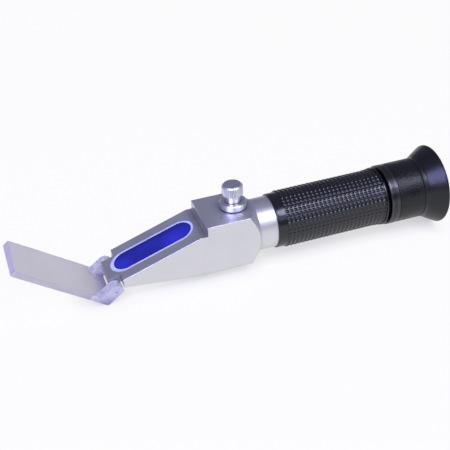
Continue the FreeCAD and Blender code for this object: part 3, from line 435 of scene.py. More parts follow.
def cover_masks(finish):
    """The ears, the far end, the long edges and the ears' foot, as four factors."""
    aside = along(finish, (0, 1, 0), (0, 0, 0))
    spread = sums(finish, "MULTIPLY", sums(finish, "MULTIPLY", aside, aside), EAR_SPREAD)
    reach = sums(finish, "SUBTRACT", along(finish, plate_way, hinge_place), spread)
    ear = levels(finish, reach, 1.0, 0.0, EAR_REACH, EAR_REACH + EAR_FADE)
    out = along(finish, end_way, hinge_place)
    end = levels(finish, out, 0.0, 1.0, plate_reach - END_LENGTH, plate_reach - FULL_BEFORE)
    side = sums(finish, "ABSOLUTE", aside, 0.0)
    edge = levels(finish, side, 0.0, 0.8, plate_half - EDGE_WIDTH, plate_half - FULL_BEFORE)
    height = along(finish, (0, 0, 1), hinge_place)
    # Where painted shade darkens the ears towards their foot.
    foot = levels(finish, height, 0.9, 0.0, -0.8 * EAR_DEPTH, -0.15 * EAR_DEPTH)
    return ear, end, edge, foot


print("the ears end", round((EAR_REACH + EAR_FADE) / MM, 1), "mm from the hinge")

# %% [markdown]
# The frosted face looks milky grey and the long edges a little darker. The far end is painted
# lavender, as a glow of light that has run along inside the plate. The ears are smoother, mottled
# and full of small facets that glitter, because they are moulded thick and nobody polishes them,
# and towards their foot they carry a violet painted shade. One shader does it all: the masks
# drive its colour, roughness, clearness and relief.

# %% Frosted acrylic
FACE_TONES = (
    (0.3, (0.90, 0.87, 0.85)),
    (0.7, (0.95, 0.92, 0.91)),
)
EAR_TONES = (
    (0.30, (0.66, 0.62, 0.78)),
    (0.42, (0.88, 0.86, 0.95)),
    (0.54, (0.98, 0.96, 0.99)),
    (0.68, (1.0, 1.0, 1.0)),
)
EDGE_TONE = (0.74, 0.71, 0.75)
# Painted shade towards the ears' foot, and a painted lavender glow at the far end.
FOOT_SHADE_TONE = (0.42, 0.36, 0.58)
END_GLOW_TONE = (0.82, 0.77, 1.0)
FACETS_PER_METRE = 800.0
FACET_DEPTH = 0.5 * MM


def make_frosted_acrylic():
    """Frosted on the face, a painted lavender glow at the end, faceted and mottled on the ears with
    painted shade at their foot.
    """
    finish, shader = new_finish("frosted_acrylic", (0.5, 0.49, 0.52), 0.35)
    ear, end, edge, foot = cover_masks(finish)
    face = tones(finish, speckle(finish, 45, detail=2.0), *FACE_TONES)
    face = mixed(finish, edge, face, EDGE_TONE)
    milky = tones(finish, speckle(finish, 620, detail=4.0, roughness=0.65), *EAR_TONES)
    # Painted shade towards the ears' foot.
    milky = mixed(finish, foot, milky, FOOT_SHADE_TONE)
    toned = mixed(finish, ear, face, milky)
    # Painted light: a lavender glow at the far end.
    feed(finish, shader, "Base Color", mixed(finish, end, toned, END_GLOW_TONE))
    feed(finish, shader, "Roughness", levels(finish, ear, 0.42, 0.1))
    feed(finish, shader, "Transmission Weight", levels(finish, ear, 0.68, 0.4))
    shader.inputs["IOR"].default_value = 1.49
    inputs = {"Vector": places(finish), "Scale": FACETS_PER_METRE}
    facets = add_node(finish, "ShaderNodeTexVoronoi", inputs).outputs["Distance"]
    grain = sums(finish, "ADD", facets, speckle(finish, 1500, detail=2.0))
    chipped = sums(finish, "MULTIPLY", grain, levels(finish, ear, 0.03, 1.0))
    roughen(finish, shader, chipped, FACET_DEPTH, 0.8)
    return finish


coat_solid(make_frosted_acrylic(), "cover_plate")

# %% [markdown]
# The knob is bright nickel. Its knurl is real geometry, cut in the solid, because light catches
# each ridge. Fingers keep the knurl satin, and a dark line of painted shade sits just below it.
# Both belong to a height on the knob, so two masks along the upright axis are enough.

# %% Masks on the knob
HEAD_HEIGHT = 5.2 * MM
TOP_EDGE = 0.06 * MM
TOP_FADE = 0.05 * MM
FOOT_FADE = 0.3 * MM
# Where the line of painted shade under the knurl starts and where it is full.
SHADE_LINE_STARTS = 0.5 * MM
SHADE_LINE_FULL = 0.3 * MM
knob_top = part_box("calibration_knob")[1].z
knurl_span = (knob_top - HEAD_HEIGHT, knob_top - TOP_EDGE)


def knurl_masks(finish, foot, top):
    """1 on the knurl, and 1 on the line of painted shade below it."""
    height = along(finish, (0, 0, 1), (0, 0, 0))
    below_top = levels(finish, height, 1.0, 0.0, top, top + TOP_FADE)
    above_foot = levels(finish, height, 0.0, 1.0, foot, foot + FOOT_FADE)
    above_line = levels(finish, height, 0.0, 1.0, foot - SHADE_LINE_STARTS, foot - SHADE_LINE_FULL)
    cut = sums(finish, "MULTIPLY", below_top, above_foot)
    shade_line = sums(finish, "SUBTRACT", sums(finish, "MULTIPLY", below_top, above_line), cut)
    return cut, shade_line


print("knurl from", [round(height / MM, 2) for height in knurl_span], "mm")

# %% [markdown]
# On a bright metal the surroundings do the work, so the finish stays simple: a low roughness
# that wanders a little, turning marks finer than a hair, and painted shade in the hollows. Nickel,
# steel and brass differ only in colour and roughness, so one recipe makes them all, and the
# knob's masks are an extra.

# %% Turned metal recipe
KNURL_ROUGHNESS = 0.24
NOOK_REACH = 1.5 * MM


def make_turned_metal(name, colour, low_rough, high_rough, marks_per_metre, mark_depth, knurl=None):
    """Turned metal with fine marks round the upright axis and painted shade in its hollows; satin over
    a knurl's height, with a line of painted shade under it.
    """
    finish, shader = new_finish(name, colour, low_rough, metal=1.0)
    cloud = speckle(finish, 400, detail=3.0)
    darker = tuple(part * 0.93 for part in colour)
    # Painted shade: a dark copy of the colour for hollows and for the line under a knurl.
    shade_tone = tuple(part * 0.25 for part in colour)
    tone = tones(finish, cloud, (0.35, darker), (0.65, colour))
    tone = mixed(finish, hollows(finish, NOOK_REACH, 0.35, 0.85), tone, shade_tone)
    rough = levels(finish, cloud, low_rough, high_rough, *NOISE_MIDDLE)
    if knurl:
        cut, shade_line = knurl_masks(finish, *knurl)
        # Painted shade in a thin line under the knurl.
        tone = mixed(finish, shade_line, tone, shade_tone)
        rough = sums(finish, "ADD", rough, sums(finish, "MULTIPLY", cut, KNURL_ROUGHNESS))
    feed(finish, shader, "Base Color", tone)
    feed(finish, shader, "Roughness", rough)
    inputs = {"Vector": places(finish), "Scale": marks_per_metre, "Distortion": 0.4, "Detail": 2.0}
    marks = add_node(finish, "ShaderNodeTexWave", inputs, wave_type="RINGS", rings_direction="Z")
    roughen(finish, shader, marks.outputs["Fac"], mark_depth, 0.35)
    return finish


print("recipe ready:", make_turned_metal.__name__)

# %% [markdown]
# The knob is the brightest, and the bush under it is a little more satin. The pin, the clip and
# the screws are ground steel. The objective's carrier inside the block is turned from brass.

# %% Nickel, steel and brass
bright_nickel = make_turned_metal(
    "bright_nickel", (0.84, 0.84, 0.88), 0.15, 0.21, 900, 0.004 * MM, knurl_span,
)
satin_nickel = make_turned_metal("satin_nickel", (0.82, 0.82, 0.88), 0.3, 0.38, 900, 0.006 * MM)
ground_steel = make_turned_metal("ground_steel", (0.56, 0.56, 0.58), 0.2, 0.34, 1500, 0.006 * MM)
turned_brass = make_turned_metal("turned_brass", (0.72, 0.52, 0.24), 0.24, 0.38, 1200, 0.008 * MM)
coat_solid(bright_nickel, "calibration_knob")
coat_solid(satin_nickel, "calibration_bush")
coat_solid(
    ground_steel,
    "hinge_pin", "knob_retaining_clip", "carrier_return_spring", "barrel_lock_screw",
    "cell_snap_ring", "focus_guide_pin",
)
coat_solid(turned_brass, "objective_carrier")

# %% [markdown]
# Inside the tube, everything that light must not bounce from is black anodised and matt. Pure
# black would hide all shape, so the colour stays just above it and the roughness wanders.

# %% Black anodised parts
def make_black_anodised():
    """Matt black on aluminium, for the tube and its cells."""
    finish, shader = new_finish("black_anodised", (0.02, 0.02, 0.022), 0.5, metal=0.6)
    cloud = speckle(finish, 300, detail=3.0)
    tone = tones(finish, cloud, (0.3, (0.014,) * 3), (0.7, (0.028,) * 3))
    feed(finish, shader, "Base Color", tone)
    feed(finish, shader, "Roughness", levels(finish, cloud, 0.42, 0.6, *NOISE_MIDDLE))
    roughen(finish, shader, speckle(finish, 6000, detail=1.0), 0.01 * MM, 0.5)
    return finish


coat_solid(
    make_black_anodised(),
    "barrel", "aperture_stop", "reticle_cell", "reticle_retaining_ring", "lens_cell",
    "objective_retaining_ring", "field_lens_retaining_ring", "eye_lens_retaining_ring",
)

# %% [markdown]
# The lenses and the reticle are clear glass. Perfect glass looks like nothing at all, so a
# little dust roughens it here and there, and a thin coat has the faint blue of a lens coating.

# %% Lens glass
def make_lens_glass():
    """Clear glass with a trace of dust and a tinted coat."""
    finish, shader = new_finish("lens_glass", (0.93, 0.95, 0.97), 0.02)
    dust = speckle(finish, 700, detail=3.0)
    tone = tones(finish, dust, (0.3, (0.90, 0.93, 0.96)), (0.7, (0.95, 0.97, 0.98)))
    feed(finish, shader, "Base Color", tone)
    feed(finish, shader, "Roughness", levels(finish, dust, 0.01, 0.05, 0.4, 0.8))
    shader.inputs["Transmission Weight"].default_value = 1.0
    shader.inputs["IOR"].default_value = 1.52
    shader.inputs["Coat Weight"].default_value = 0.3
    shader.inputs["Coat Tint"].default_value = (0.75, 0.8, 1.0, 1)
    return finish


coat_solid(
    make_lens_glass(),
    "objective_crown_lens", "objective_flint_lens", "reticle", "field_lens", "eye_lens",
)

# %% [markdown]
# Black rubber isn't black in a picture: it shows a cool sheen where it faces a lamp, and it is
# nearly black elsewhere. All the rubber and plastic pieces share one recipe, a very dark body
# and a tinted gloss. They differ in how smooth and how glossy they are: the moulded ring is the
# glossiest, the grip is greasy from hands, and the seals are dull.

# %% Rubber and plastic recipe
SHEEN_TINT = (0.88, 0.90, 0.95, 1)
JET = (0.002, 0.002, 0.0025)
SOFT_JET = (0.0025, 0.0025, 0.003)
SEAL_JET = (0.004, 0.004, 0.006)


def make_rubber(name, colour, low_rough, high_rough, grains_per_metre, depth, gloss=0.5):
    """Moulded black rubber or plastic, with a cool tinted gloss."""
    finish, shader = new_finish(name, colour, low_rough)
    cloud = speckle(finish, 160, detail=3.0)
    paler = tuple(part * 1.7 for part in colour)
    feed(finish, shader, "Base Color", tones(finish, cloud, (0.35, colour), (0.7, paler)))
    rough = levels(finish, cloud, low_rough, high_rough, *NOISE_MIDDLE)
    feed(finish, shader, "Roughness", rough)
    shader.inputs["Specular IOR Level"].default_value = gloss
    shader.inputs["Specular Tint"].default_value = SHEEN_TINT
    roughen(finish, shader, speckle(finish, grains_per_metre, detail=3.0), depth, 0.6)
    return finish


grip_rubber = make_rubber("grip_rubber", JET, 0.1, 0.17, 2500, 0.01 * MM, 0.85)
band_rubber = make_rubber("band_rubber", SOFT_JET, 0.22, 0.34, 3500, 0.02 * MM, 0.55)
cup_rubber = make_rubber("cup_rubber", JET, 0.25, 0.32, 4200, 0.006 * MM, 0.65)
seal_rubber = make_rubber("seal_rubber", SEAL_JET, 0.5, 0.65, 3000, 0.02 * MM)
ring_plastic = make_rubber("ring_plastic", JET, 0.16, 0.24, 3800, 0.006 * MM, 1.1)
print("finishes made:", len(bpy.data.materials))

# %% [markdown]
# Most of what is left is round: sleeves, rings and a flared cup. A lathe is the natural tool, and
# in code it is a list of rings of points round the tube's axis. A ring may have a radius that
# changes with the angle, which is all that studs and grain need.

# %% Rings of points
FIT_GAP = 0.03 * MM
tube_low, tube_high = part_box("barrel")
AXIS_HEIGHT = (tube_low.z + tube_high.z) / 2


def tube_sizes(node):
    """Start, end and outer radius of a packed round solid."""
    low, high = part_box(node)
    return low.x, high.x, (high.z - low.z) / 2


def ring_points(x, radius_at, count):
    """Points round the tube's axis at one place along it."""
    points = []
    for index in range(count):
        angle = 2 * math.pi * index / count
        radius = radius_at(angle) if callable(radius_at) else radius_at
        points.append((x, radius * math.cos(angle), AXIS_HEIGHT + radius * math.sin(angle)))
    return points


def arc_steps(centre_x, centre_r, radius, start, end, count):
    """Places and radii along an arc of an outline, angles in degrees."""
    steps = []
    for index in range(count + 1):
        angle = math.radians(start + (end - start) * index / count)
        steps.append((centre_x + radius * math.cos(angle), centre_r + radius * math.sin(angle)))
    return steps


print("the tube's axis is", round(AXIS_HEIGHT / MM, 2), "mm up")

# %% [markdown]
# A mesh is a list of points and a list of faces. Faces have a front and a back, and a closed
# piece should show only fronts, or it looks inside out in other programs. Which way they face
# depends on which way the outline ran, so the helper lets Blender turn them all outward. Edges
# sharper than an angle stay crisp, and the rest is shaded smooth.

# %% Points and faces to a piece
def face_outward(mesh):
    """Turn every face of a closed mesh outward, whichever way its outline ran."""
    shell = bmesh.new()
    shell.from_mesh(mesh)
    bmesh.ops.recalc_face_normals(shell, faces=shell.faces)
    shell.to_mesh(mesh)
    shell.free()


def add_piece(name, points, faces, finish, sharp_above=None):
    """A piece in the scene, closed and smooth up to an angle in degrees if one is given."""
    mesh = bpy.data.meshes.new(name)
    mesh.from_pydata(points, [], faces)
    if sharp_above:
        face_outward(mesh)
        mesh.polygons.foreach_set("use_smooth", [True] * len(faces))
        mesh.set_sharp_from_angle(angle=math.radians(sharp_above))
    mesh.materials.append(finish)
    piece = bpy.data.objects.new(name, mesh)
    bpy.context.scene.collection.objects.link(piece)
    print(name, "faces:", len(faces))
    return piece


def skin(name, rings, finish, body, slot, stands_for, sharp_above=35):
    """One closed piece through the rings, the last joined to the first, riding on a body."""
    count = len(rings[0])
    points = [point for ring in rings for point in ring]
    faces = []
    for first in range(len(rings)):
        second = (first + 1) % len(rings)
        for index in range(count):
            after = (index + 1) % count
            faces.append((
                first * count + index, second * count + index,
                second * count + after, first * count + after,
            ))
    piece = add_piece(name, points, faces, finish, sharp_above)
    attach(piece, body)
    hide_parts(stands_for)


print("helpers ready:", add_piece.__name__, "and", skin.__name__)

# %% [markdown]
# The grip is a rubber sleeve moulded with a grid of small raised studs. The sleeve needs a
# ground between the studs, a plain collar in front that closes it, and a slight flare over the
# last few millimetres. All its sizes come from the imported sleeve, so it keeps that outline.

# %% Sizes of the grip
STUDS_ROUND = 44
STUDS_ALONG = 24
GROUND_DEPTH = 1.1 * MM
COLLAR_DEPTH = 1.25 * MM
COLLAR_LENGTH = 4.6 * MM
COLLAR_ROUND = 0.6 * MM
COLLAR_EDGE = 0.3 * MM
CREASE_EDGE = 0.05 * MM
CREASE_DEPTH = 0.15 * MM
FLARE_LENGTH = 6.0 * MM
FLARE_RISE = 0.55 * MM
END_LIP = 1.0 * MM
END_ROUND = 0.35 * MM
END_REACH = 0.3 * MM
LIP_FOOT = 0.6 * MM
LIP_RUN = 0.12 * MM
LIP_EDGE = 0.1 * MM
grip_start, grip_end, grip_flare = tube_sizes("grip_sleeve")
grip_end += END_REACH
grip_ground = grip_flare - GROUND_DEPTH
grip_collar = grip_flare - COLLAR_DEPTH
grip_bore = (tube_high.z - tube_low.z) / 2 + FIT_GAP
stud_start = grip_start + COLLAR_LENGTH
stud_end = grip_end - END_LIP
stud_pitch = (stud_end - stud_start) / STUDS_ALONG
print("stud pitch:", round(stud_pitch / MM, 2), "mm along,", STUDS_ROUND, "studs round")

# %% [markdown]
# Bump alone would leave a smooth outline, and on the real grip the outline is what shows the
# studs best. So the studs are geometry: the sleeve's radius rises over each stud and falls
# between them, in seven steps along and six round. A little noise gives each stud a height of
# its own, as rubber from a mould has.

# %% One stud and one ring of studs
STEPS_ROUND = 6
STEPS_ALONG = 7
STUD_HEIGHT = 0.5 * MM
STUD_SHARE = 0.62
STUD_SLOPE = 0.42
STUD_FOOT = 0.25
STUD_UNEVEN = 0.12
ROW_STRIDE = 7.3
COLUMN_STRIDE = 5.1
CHANCE_LEVEL = 2.0
GRIP_SIDES = STUDS_ROUND * STEPS_ROUND


def hump(share):
    """Height of a stud, from 0 to 1, at a share of its pitch."""
    inside = (STUD_SHARE / 2 - abs(share - 0.5)) / (STUD_SHARE * STUD_SLOPE)
    inside = min(max(inside + STUD_FOOT, 0.0), 1.0)
    return inside * inside * (3 - 2 * inside)


def stud_ring(column, share):
    """One ring across a column of studs, at a share of its pitch."""
    x = stud_start + (column + share) * stud_pitch
    flare = max(0.0, 1 - (grip_end - x) / FLARE_LENGTH)
    ground = grip_ground + flare * FLARE_RISE

    def radius_at(angle):
        row = angle / (2 * math.pi) * STUDS_ROUND
        place = (math.floor(row) * ROW_STRIDE, column * COLUMN_STRIDE, CHANCE_LEVEL)
        chance = noise.noise(Vector(place))
        height = STUD_HEIGHT * (1 + STUD_UNEVEN * chance)
        return ground + height * hump(share) * hump(row % 1)

    return ring_points(x, radius_at, GRIP_SIDES)


print("points round the grip:", GRIP_SIDES)

# %% [markdown]
# With the rings of studs in hand, the sleeve is one outline: up from the bore, round the corner
# of the collar, down a crease, along the studs, over the lip at the end and back to the bore.
# One piece is right here, because the real sleeve is one moulding that is stretched on.

# %% Studded grip
def grip_rings():
    """The sleeve from its bore over the collar and the studs to its end, as rings."""
    outline = [(grip_start, grip_bore)]
    corner = (grip_start + COLLAR_ROUND, grip_collar - COLLAR_ROUND)
    outline += arc_steps(*corner, COLLAR_ROUND, 180, 90, 5)
    outline.append((stud_start - COLLAR_EDGE, grip_collar))
    outline.append((stud_start - CREASE_EDGE, grip_ground - CREASE_DEPTH))
    rings = [ring_points(x, radius, GRIP_SIDES) for x, radius in outline]
    for column in range(STUDS_ALONG):
        for step in range(STEPS_ALONG):
            rings.append(stud_ring(column, step / STEPS_ALONG))
    outline = [(stud_end, grip_flare - LIP_FOOT), (stud_end + LIP_RUN, grip_flare - LIP_EDGE)]
    outline += arc_steps(grip_end - END_ROUND, grip_flare - END_ROUND, END_ROUND, 100, 0, 5)
    outline.append((grip_end, grip_bore))
    rings += [ring_points(x, radius, GRIP_SIDES) for x, radius in outline]
    return rings


skin("grip_sleeve_studded", grip_rings(), grip_rubber, "housing", "grip_rubber", "grip_sleeve", 60)

# %% [markdown]
# The focus ring is a glossy black moulding with a thread inside, three fine grooves near its
# front edge, a seat for the rubber band, and a spigot that carries the eyecup. It turns with
# the eyepiece, so it rides on that body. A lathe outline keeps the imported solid's inside and adds
# the grooves and the rounded edge.

# %% Focus ring
RING_SIDES = 192
RING_EDGE = 0.45 * MM
SEAT_DEPTH = 1.0 * MM
CHAMFER_RUN = 0.2 * MM
CHAMFER_DEPTH = 0.15 * MM
GROOVE_DEPTH = 0.16 * MM
GROOVE_HALF = 0.2 * MM
GROOVE_FLOOR = 0.1 * MM
GROOVE_PLACES = (2.55 * MM, 1.95 * MM, 1.35 * MM)
THREAD_RADIUS = 12.05 * MM
WEB_BORE = 9.4 * MM
WEB_THICKNESS = 4.0 * MM
WEB_SETBACK = 5.8 * MM
SOCKET_RADIUS = 11.2 * MM
SPIGOT_RADIUS = 12.6 * MM
ring_start, ring_end, ring_radius = tube_sizes("focus_ring")
band_start, band_end, band_radius = tube_sizes("focus_ring_band")
web_start = band_end - WEB_SETBACK
web_end = web_start + WEB_THICKNESS
band_seat = ring_radius - SEAT_DEPTH


def focus_ring_rings():
    """The ring from its thread through the socket and back over the seat and the grooves."""
    outline = [
        (ring_start, THREAD_RADIUS), (web_start, THREAD_RADIUS), (web_start, WEB_BORE),
        (web_end, WEB_BORE), (web_end, SOCKET_RADIUS), (ring_end, SOCKET_RADIUS),
        (ring_end, SPIGOT_RADIUS), (band_end, SPIGOT_RADIUS), (band_end, band_seat),
        (band_start - FIT_GAP, band_seat), (band_start - FIT_GAP, ring_radius - CHAMFER_DEPTH),
        (band_start - CHAMFER_RUN, ring_radius),
    ]
    for groove in GROOVE_PLACES:
        middle = ring_start + groove
        floor = ring_radius - GROOVE_DEPTH
        outline += [
            (middle + GROOVE_HALF, ring_radius), (middle + GROOVE_FLOOR, floor),
            (middle - GROOVE_FLOOR, floor), (middle - GROOVE_HALF, ring_radius),
        ]
    outline += arc_steps(ring_start + RING_EDGE, ring_radius - RING_EDGE, RING_EDGE, 90, 180, 4)
    return [ring_points(x, radius, RING_SIDES) for x, radius in outline]


skin("focus_ring_ridged", focus_ring_rings(), ring_plastic, "eyepiece", "black_plastic", "focus_ring")

# %% [markdown]
# The band under the fingers is rubber with the grain of leather. Such a grain is made of cells:
# each is a soft pad, and between the pads run creases. Cell noise gives exactly that: the
# distance to the second nearest cell point, less the distance to the nearest, is 0 on a border
# and grows inside the cell. The creases are real relief here and no bump, because the band's
# edges show against the pale floor.

# %% Grained band
BAND_SIDES = 360
BAND_STEPS = 54
BAND_THICKNESS = 0.97 * MM
BAND_ROUND = 0.45 * MM
CELL_SIZE = 0.85 * MM
GRAIN_DEPTH = 0.13 * MM
CREASE_WIDTH = 0.35
PAD_LOWEST = 0.75
PAD_BUMPS = 2.3


def grain_height(x, angle):
    """Height of the leather grain, from 0 in a crease to 1 on a pad."""
    place = Vector((x, band_radius * math.cos(angle), band_radius * math.sin(angle))) / CELL_SIZE
    distances, _ = noise.voronoi(place)
    crease = min(1.0, (distances[1] - distances[0]) / CREASE_WIDTH)
    return crease * (PAD_LOWEST + (1 - PAD_LOWEST) * noise.noise(place * PAD_BUMPS))


def band_ring(x):
    """One ring of the band's outside, lower towards the rounded edges."""
    edge = min(x - band_start, band_end - x)
    drop = 0.0
    if edge < BAND_ROUND:
        drop = BAND_ROUND - math.sqrt(BAND_ROUND ** 2 - (BAND_ROUND - edge) ** 2)

    def radius_at(angle):
        return band_radius - drop - GRAIN_DEPTH * (1 - grain_height(x, angle))

    return ring_points(x, radius_at, BAND_SIDES)


def band_rings():
    """The band from its bore over the grained outside and back, as rings."""
    bore = band_radius - BAND_THICKNESS
    rings = [ring_points(band_start, bore, BAND_SIDES)]
    for step in range(BAND_STEPS + 1):
        rings.append(band_ring(band_start + (band_end - band_start) * step / BAND_STEPS))
    rings.append(ring_points(band_end, bore, BAND_SIDES))
    return rings


skin("focus_band_grained", band_rings(), band_rubber, "eyepiece", "grip_rubber", "focus_ring_band", 70)

# %% [markdown]
# The eyecup is soft rubber, flared so that it shades the eye. The outside is a short waist and a
# straight cone that ends in a rounded rim, and the inside steps down to the throat in small
# terraces that keep stray light out. All of it turns about one axis, so it is an outline too,
# with arcs where it is round.

# %% Eyecup
CUP_SIDES = 160
CONE_STEPS = 9
CONE_SHARE = 0.97
TERRACES = 5
TERRACE_SLOPE = 0.35
TERRACE_RISE = 0.15 * MM
TERRACE_ROUND = 0.1 * MM
MOUTH_SETBACK = 0.5 * MM
WAIST_LENGTH = 1.9 * MM
WAIST_FOLD = 0.8 * MM
WAIST_ROUND = 0.25 * MM
RIM_WIDTH = 1.5 * MM
RIM_ROUND = 0.5 * MM
THROAT_RADIUS = 11.4 * MM
cup_start, cup_end, cup_radius = tube_sizes("eyecup")
throat_start = ring_end + FIT_GAP
cup_bore = SPIGOT_RADIUS + FIT_GAP


def cup_inside():
    """The throat and the terraces, as an outline from front to back."""
    outline = [(throat_start, cup_bore), (throat_start, THROAT_RADIUS)]
    depth = cup_end - MOUTH_SETBACK - throat_start
    width = cup_radius - RIM_WIDTH - THROAT_RADIUS
    for terrace in range(TERRACES):
        share = (terrace + 1) / TERRACES
        x = throat_start + depth * (share - TERRACE_SLOPE / TERRACES)
        outline.append((x, THROAT_RADIUS + width * (share - 1 / TERRACES) + TERRACE_RISE))
        outline.append((x + TERRACE_ROUND, THROAT_RADIUS + width * share - TERRACE_ROUND))
    return outline


def cup_rings():
    """The cup from its throat over the rim and down the cone to the waist, as rings."""
    waist = cup_start + WAIST_LENGTH
    outline = cup_inside()
    outline += arc_steps(cup_end - RIM_ROUND, cup_radius - RIM_ROUND, RIM_ROUND, -30, 115, 9)
    rim_x, rim_r = outline[-1]
    for step in range(1, CONE_STEPS + 1):
        share = 1 - step / CONE_STEPS * CONE_SHARE
        outline.append((waist + (rim_x - waist) * share, ring_radius + (rim_r - ring_radius) * share))
    outline += [
        (waist - WAIST_ROUND, ring_radius), (waist - WAIST_FOLD, ring_radius),
        (cup_start + WAIST_ROUND, ring_radius), (cup_start, ring_radius - WAIST_ROUND),
        (cup_start, cup_bore),
    ]
    return [ring_points(x, radius, CUP_SIDES) for x, radius in outline]


skin("eyecup_moulded", cup_rings(), cup_rubber, "eyepiece", "black_rubber", "eyecup", 40)

# %% [markdown]
# The gasket under the bush is a rubber washer whose edge bulges where it is squeezed, and it
# shows as the thin dark line under the flange. It stands about the upright axis, not the tube's,
# so it gets its own rings. The same skin closes them.

# %% Gasket under the bush
GASKET_SIDES = 96
GASKET_BORE = 4.23 * MM
GASKET_BULGE = 0.1 * MM


def gasket_rings():
    """A squeezed washer about the upright axis, as rings."""
    low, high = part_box("bush_gasket")
    shoulder = (high.x - low.x) / 2 - GASKET_BULGE
    middle = (low.z + high.z) / 2
    half_thick = (high.z - low.z) / 2
    outline = [(GASKET_BORE, low.z), (shoulder, low.z)]
    for degrees in (-60, -30, 0, 30, 60):
        turn = math.radians(degrees)
        outline.append((shoulder + GASKET_BULGE * math.cos(turn), middle + half_thick * math.sin(turn)))
    outline += [(shoulder, high.z), (GASKET_BORE, high.z)]
    rings = []
    for radius, height in outline:
        ring = []
        for index in range(GASKET_SIDES):
            angle = -2 * math.pi * index / GASKET_SIDES
            ring.append((radius * math.cos(angle), radius * math.sin(angle), height))
        rings.append(ring)
    return rings


skin("bush_gasket_squeezed", gasket_rings(), seal_rubber, "housing", "black_rubber", "bush_gasket")

# %% [markdown]
# The seal between the tube and the collar is a ring of round rubber cord. Nobody sees it until
# the instrument is taken apart, but a reusable part should survive that. Its outline is a full
# circle, swept once round the tube.

# %% Seal on the tube
SEAL_SIDES = 96
CORD_STEPS = 16


def seal_rings():
    """A ring of round cord about the tube's axis, as rings."""
    low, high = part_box("barrel_seal")
    cord = (high.x - low.x) / 2
    outline = arc_steps((low.x + high.x) / 2, (high.z - low.z) / 2 - cord, cord, 360, 0, CORD_STEPS)
    return [ring_points(x, radius, SEAL_SIDES) for x, radius in outline[1:]]


skin("barrel_seal_cord", seal_rings(), seal_rubber, "housing", "black_rubber", "barrel_seal", 60)

# %% [markdown]
# Under the objective's carrier lies a bowed leaf of spring steel. When the knob presses the
# carrier down, the leaf's crown goes with it while its ends stay on the floor of the chamber. A
# solid that rides on one body would be cut by the carrier, so the leaf is a mesh of its own, in
# many steps along its bow.

# %% Leaf spring
LEAF_THICKNESS = 0.3 * MM
LEAF_ROUND = 0.06 * MM
LEAF_STEPS = 25


def leaf_points(low, high):
    """Four bent strips of points across the leaf, the outer two drawn in to round its edges."""
    half_span = (high.x - low.x) / 2
    half_width = (high.y - low.y) / 2
    rise = high.z - low.z - LEAF_THICKNESS
    bow = (half_span ** 2 + rise ** 2) / (2 * rise)
    columns = []
    for step in range(LEAF_STEPS):
        x = half_span * (2 * step / (LEAF_STEPS - 1) - 1)
        columns.append((x, high.z - bow + math.sqrt(bow ** 2 - x ** 2)))
    strips = (
        (-half_width, LEAF_ROUND), (LEAF_ROUND - half_width, 0),
        (half_width - LEAF_ROUND, 0), (half_width, LEAF_ROUND),
    )
    points = []
    for y, inset in strips:
        points += [(x, y, z - inset) for x, z in columns]
        points += [(x, y, z - LEAF_THICKNESS + inset) for x, z in reversed(columns)]
    print("the leaf rises", round(rise / MM, 2), "mm")
    return points


def leaf_faces():
    """Faces between the strips, and the two long edges."""
    count = 2 * LEAF_STEPS
    faces = []
    for first in (0, count, 2 * count):
        second = first + count
        for index in range(count):
            after = (index + 1) % count
            faces.append((first + index, first + after, second + after, second + index))
    for index in range(LEAF_STEPS - 1):
        near = (index, count - 1 - index, count - 2 - index, index + 1)
        faces.append(near)
        faces.append(tuple(3 * count + corner for corner in reversed(near)))
    return faces


leaf_low, leaf_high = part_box("carrier_return_spring")
leaf = add_piece("leaf_spring_bowed", leaf_points(leaf_low, leaf_high), leaf_faces(), ground_steel, 60)
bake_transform(leaf)
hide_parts("carrier_return_spring")

# %% [markdown]
# Whoever looks into the eyepiece reads a scale on the reticle. It is a ladder of thin lines with
# plain numbers, in raised ink on the glass face that the eyepiece looks at. An image could carry
# it, but ink as geometry is sharp at any distance. Lines are flat bars of six faces.

# %% Lines of the scale
SCALE_STEPS = 30
NUMBER_EVERY = 5
STEP_HEIGHT = 0.32 * MM
LINE_HALF = 0.02 * MM
LONG_LINE = 1.5 * MM
SHORT_LINE = 0.8 * MM
INK_THICKNESS = 0.01 * MM
BAR_FACES = (
    (0, 3, 2, 1), (4, 5, 6, 7), (0, 1, 5, 4), (1, 2, 6, 5), (2, 3, 7, 6), (3, 0, 4, 7),
)
glass_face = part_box("reticle")[1].x


def add_bar(points, faces, low_y, high_y, low_z, high_z):
    """One thin raised bar of ink on the glass."""
    base = len(points)
    for x in (glass_face, glass_face + INK_THICKNESS):
        points += [(x, low_y, low_z), (x, high_y, low_z), (x, high_y, high_z), (x, low_y, high_z)]
    for face in BAR_FACES:
        faces.append(tuple(base + corner for corner in face))


print("the scale is", round(SCALE_STEPS * STEP_HEIGHT / MM, 1), "mm high")

# %% [markdown]
# Text is the quickest way to numerals. Each number becomes a mesh, is turned to face the eye, and
# its points join the lines in one piece, so that nothing can come apart.

# %% Numbers of the scale
NUMERAL_SIZE = 0.9 * MM
NUMERAL_EDGE = -1.7 * MM


def add_numeral(points, faces, words, y, z):
    """A number as thin raised ink, read from the eyepiece side."""
    text = bpy.data.curves.new("numeral", "FONT")
    text.body = words
    text.size = NUMERAL_SIZE
    text.extrude = INK_THICKNESS / 2
    text.align_x = "RIGHT"
    text.align_y = "CENTER"
    holder = bpy.data.objects.new("numeral", text)
    mesh = bpy.data.meshes.new_from_object(holder)
    base = len(points)
    middle = glass_face + INK_THICKNESS / 2
    for vertex in mesh.vertices:
        points.append((middle + vertex.co.z, y + vertex.co.x, z + vertex.co.y))
    for polygon in mesh.polygons:
        faces.append(tuple(base + index for index in polygon.vertices))
    bpy.data.objects.remove(holder)


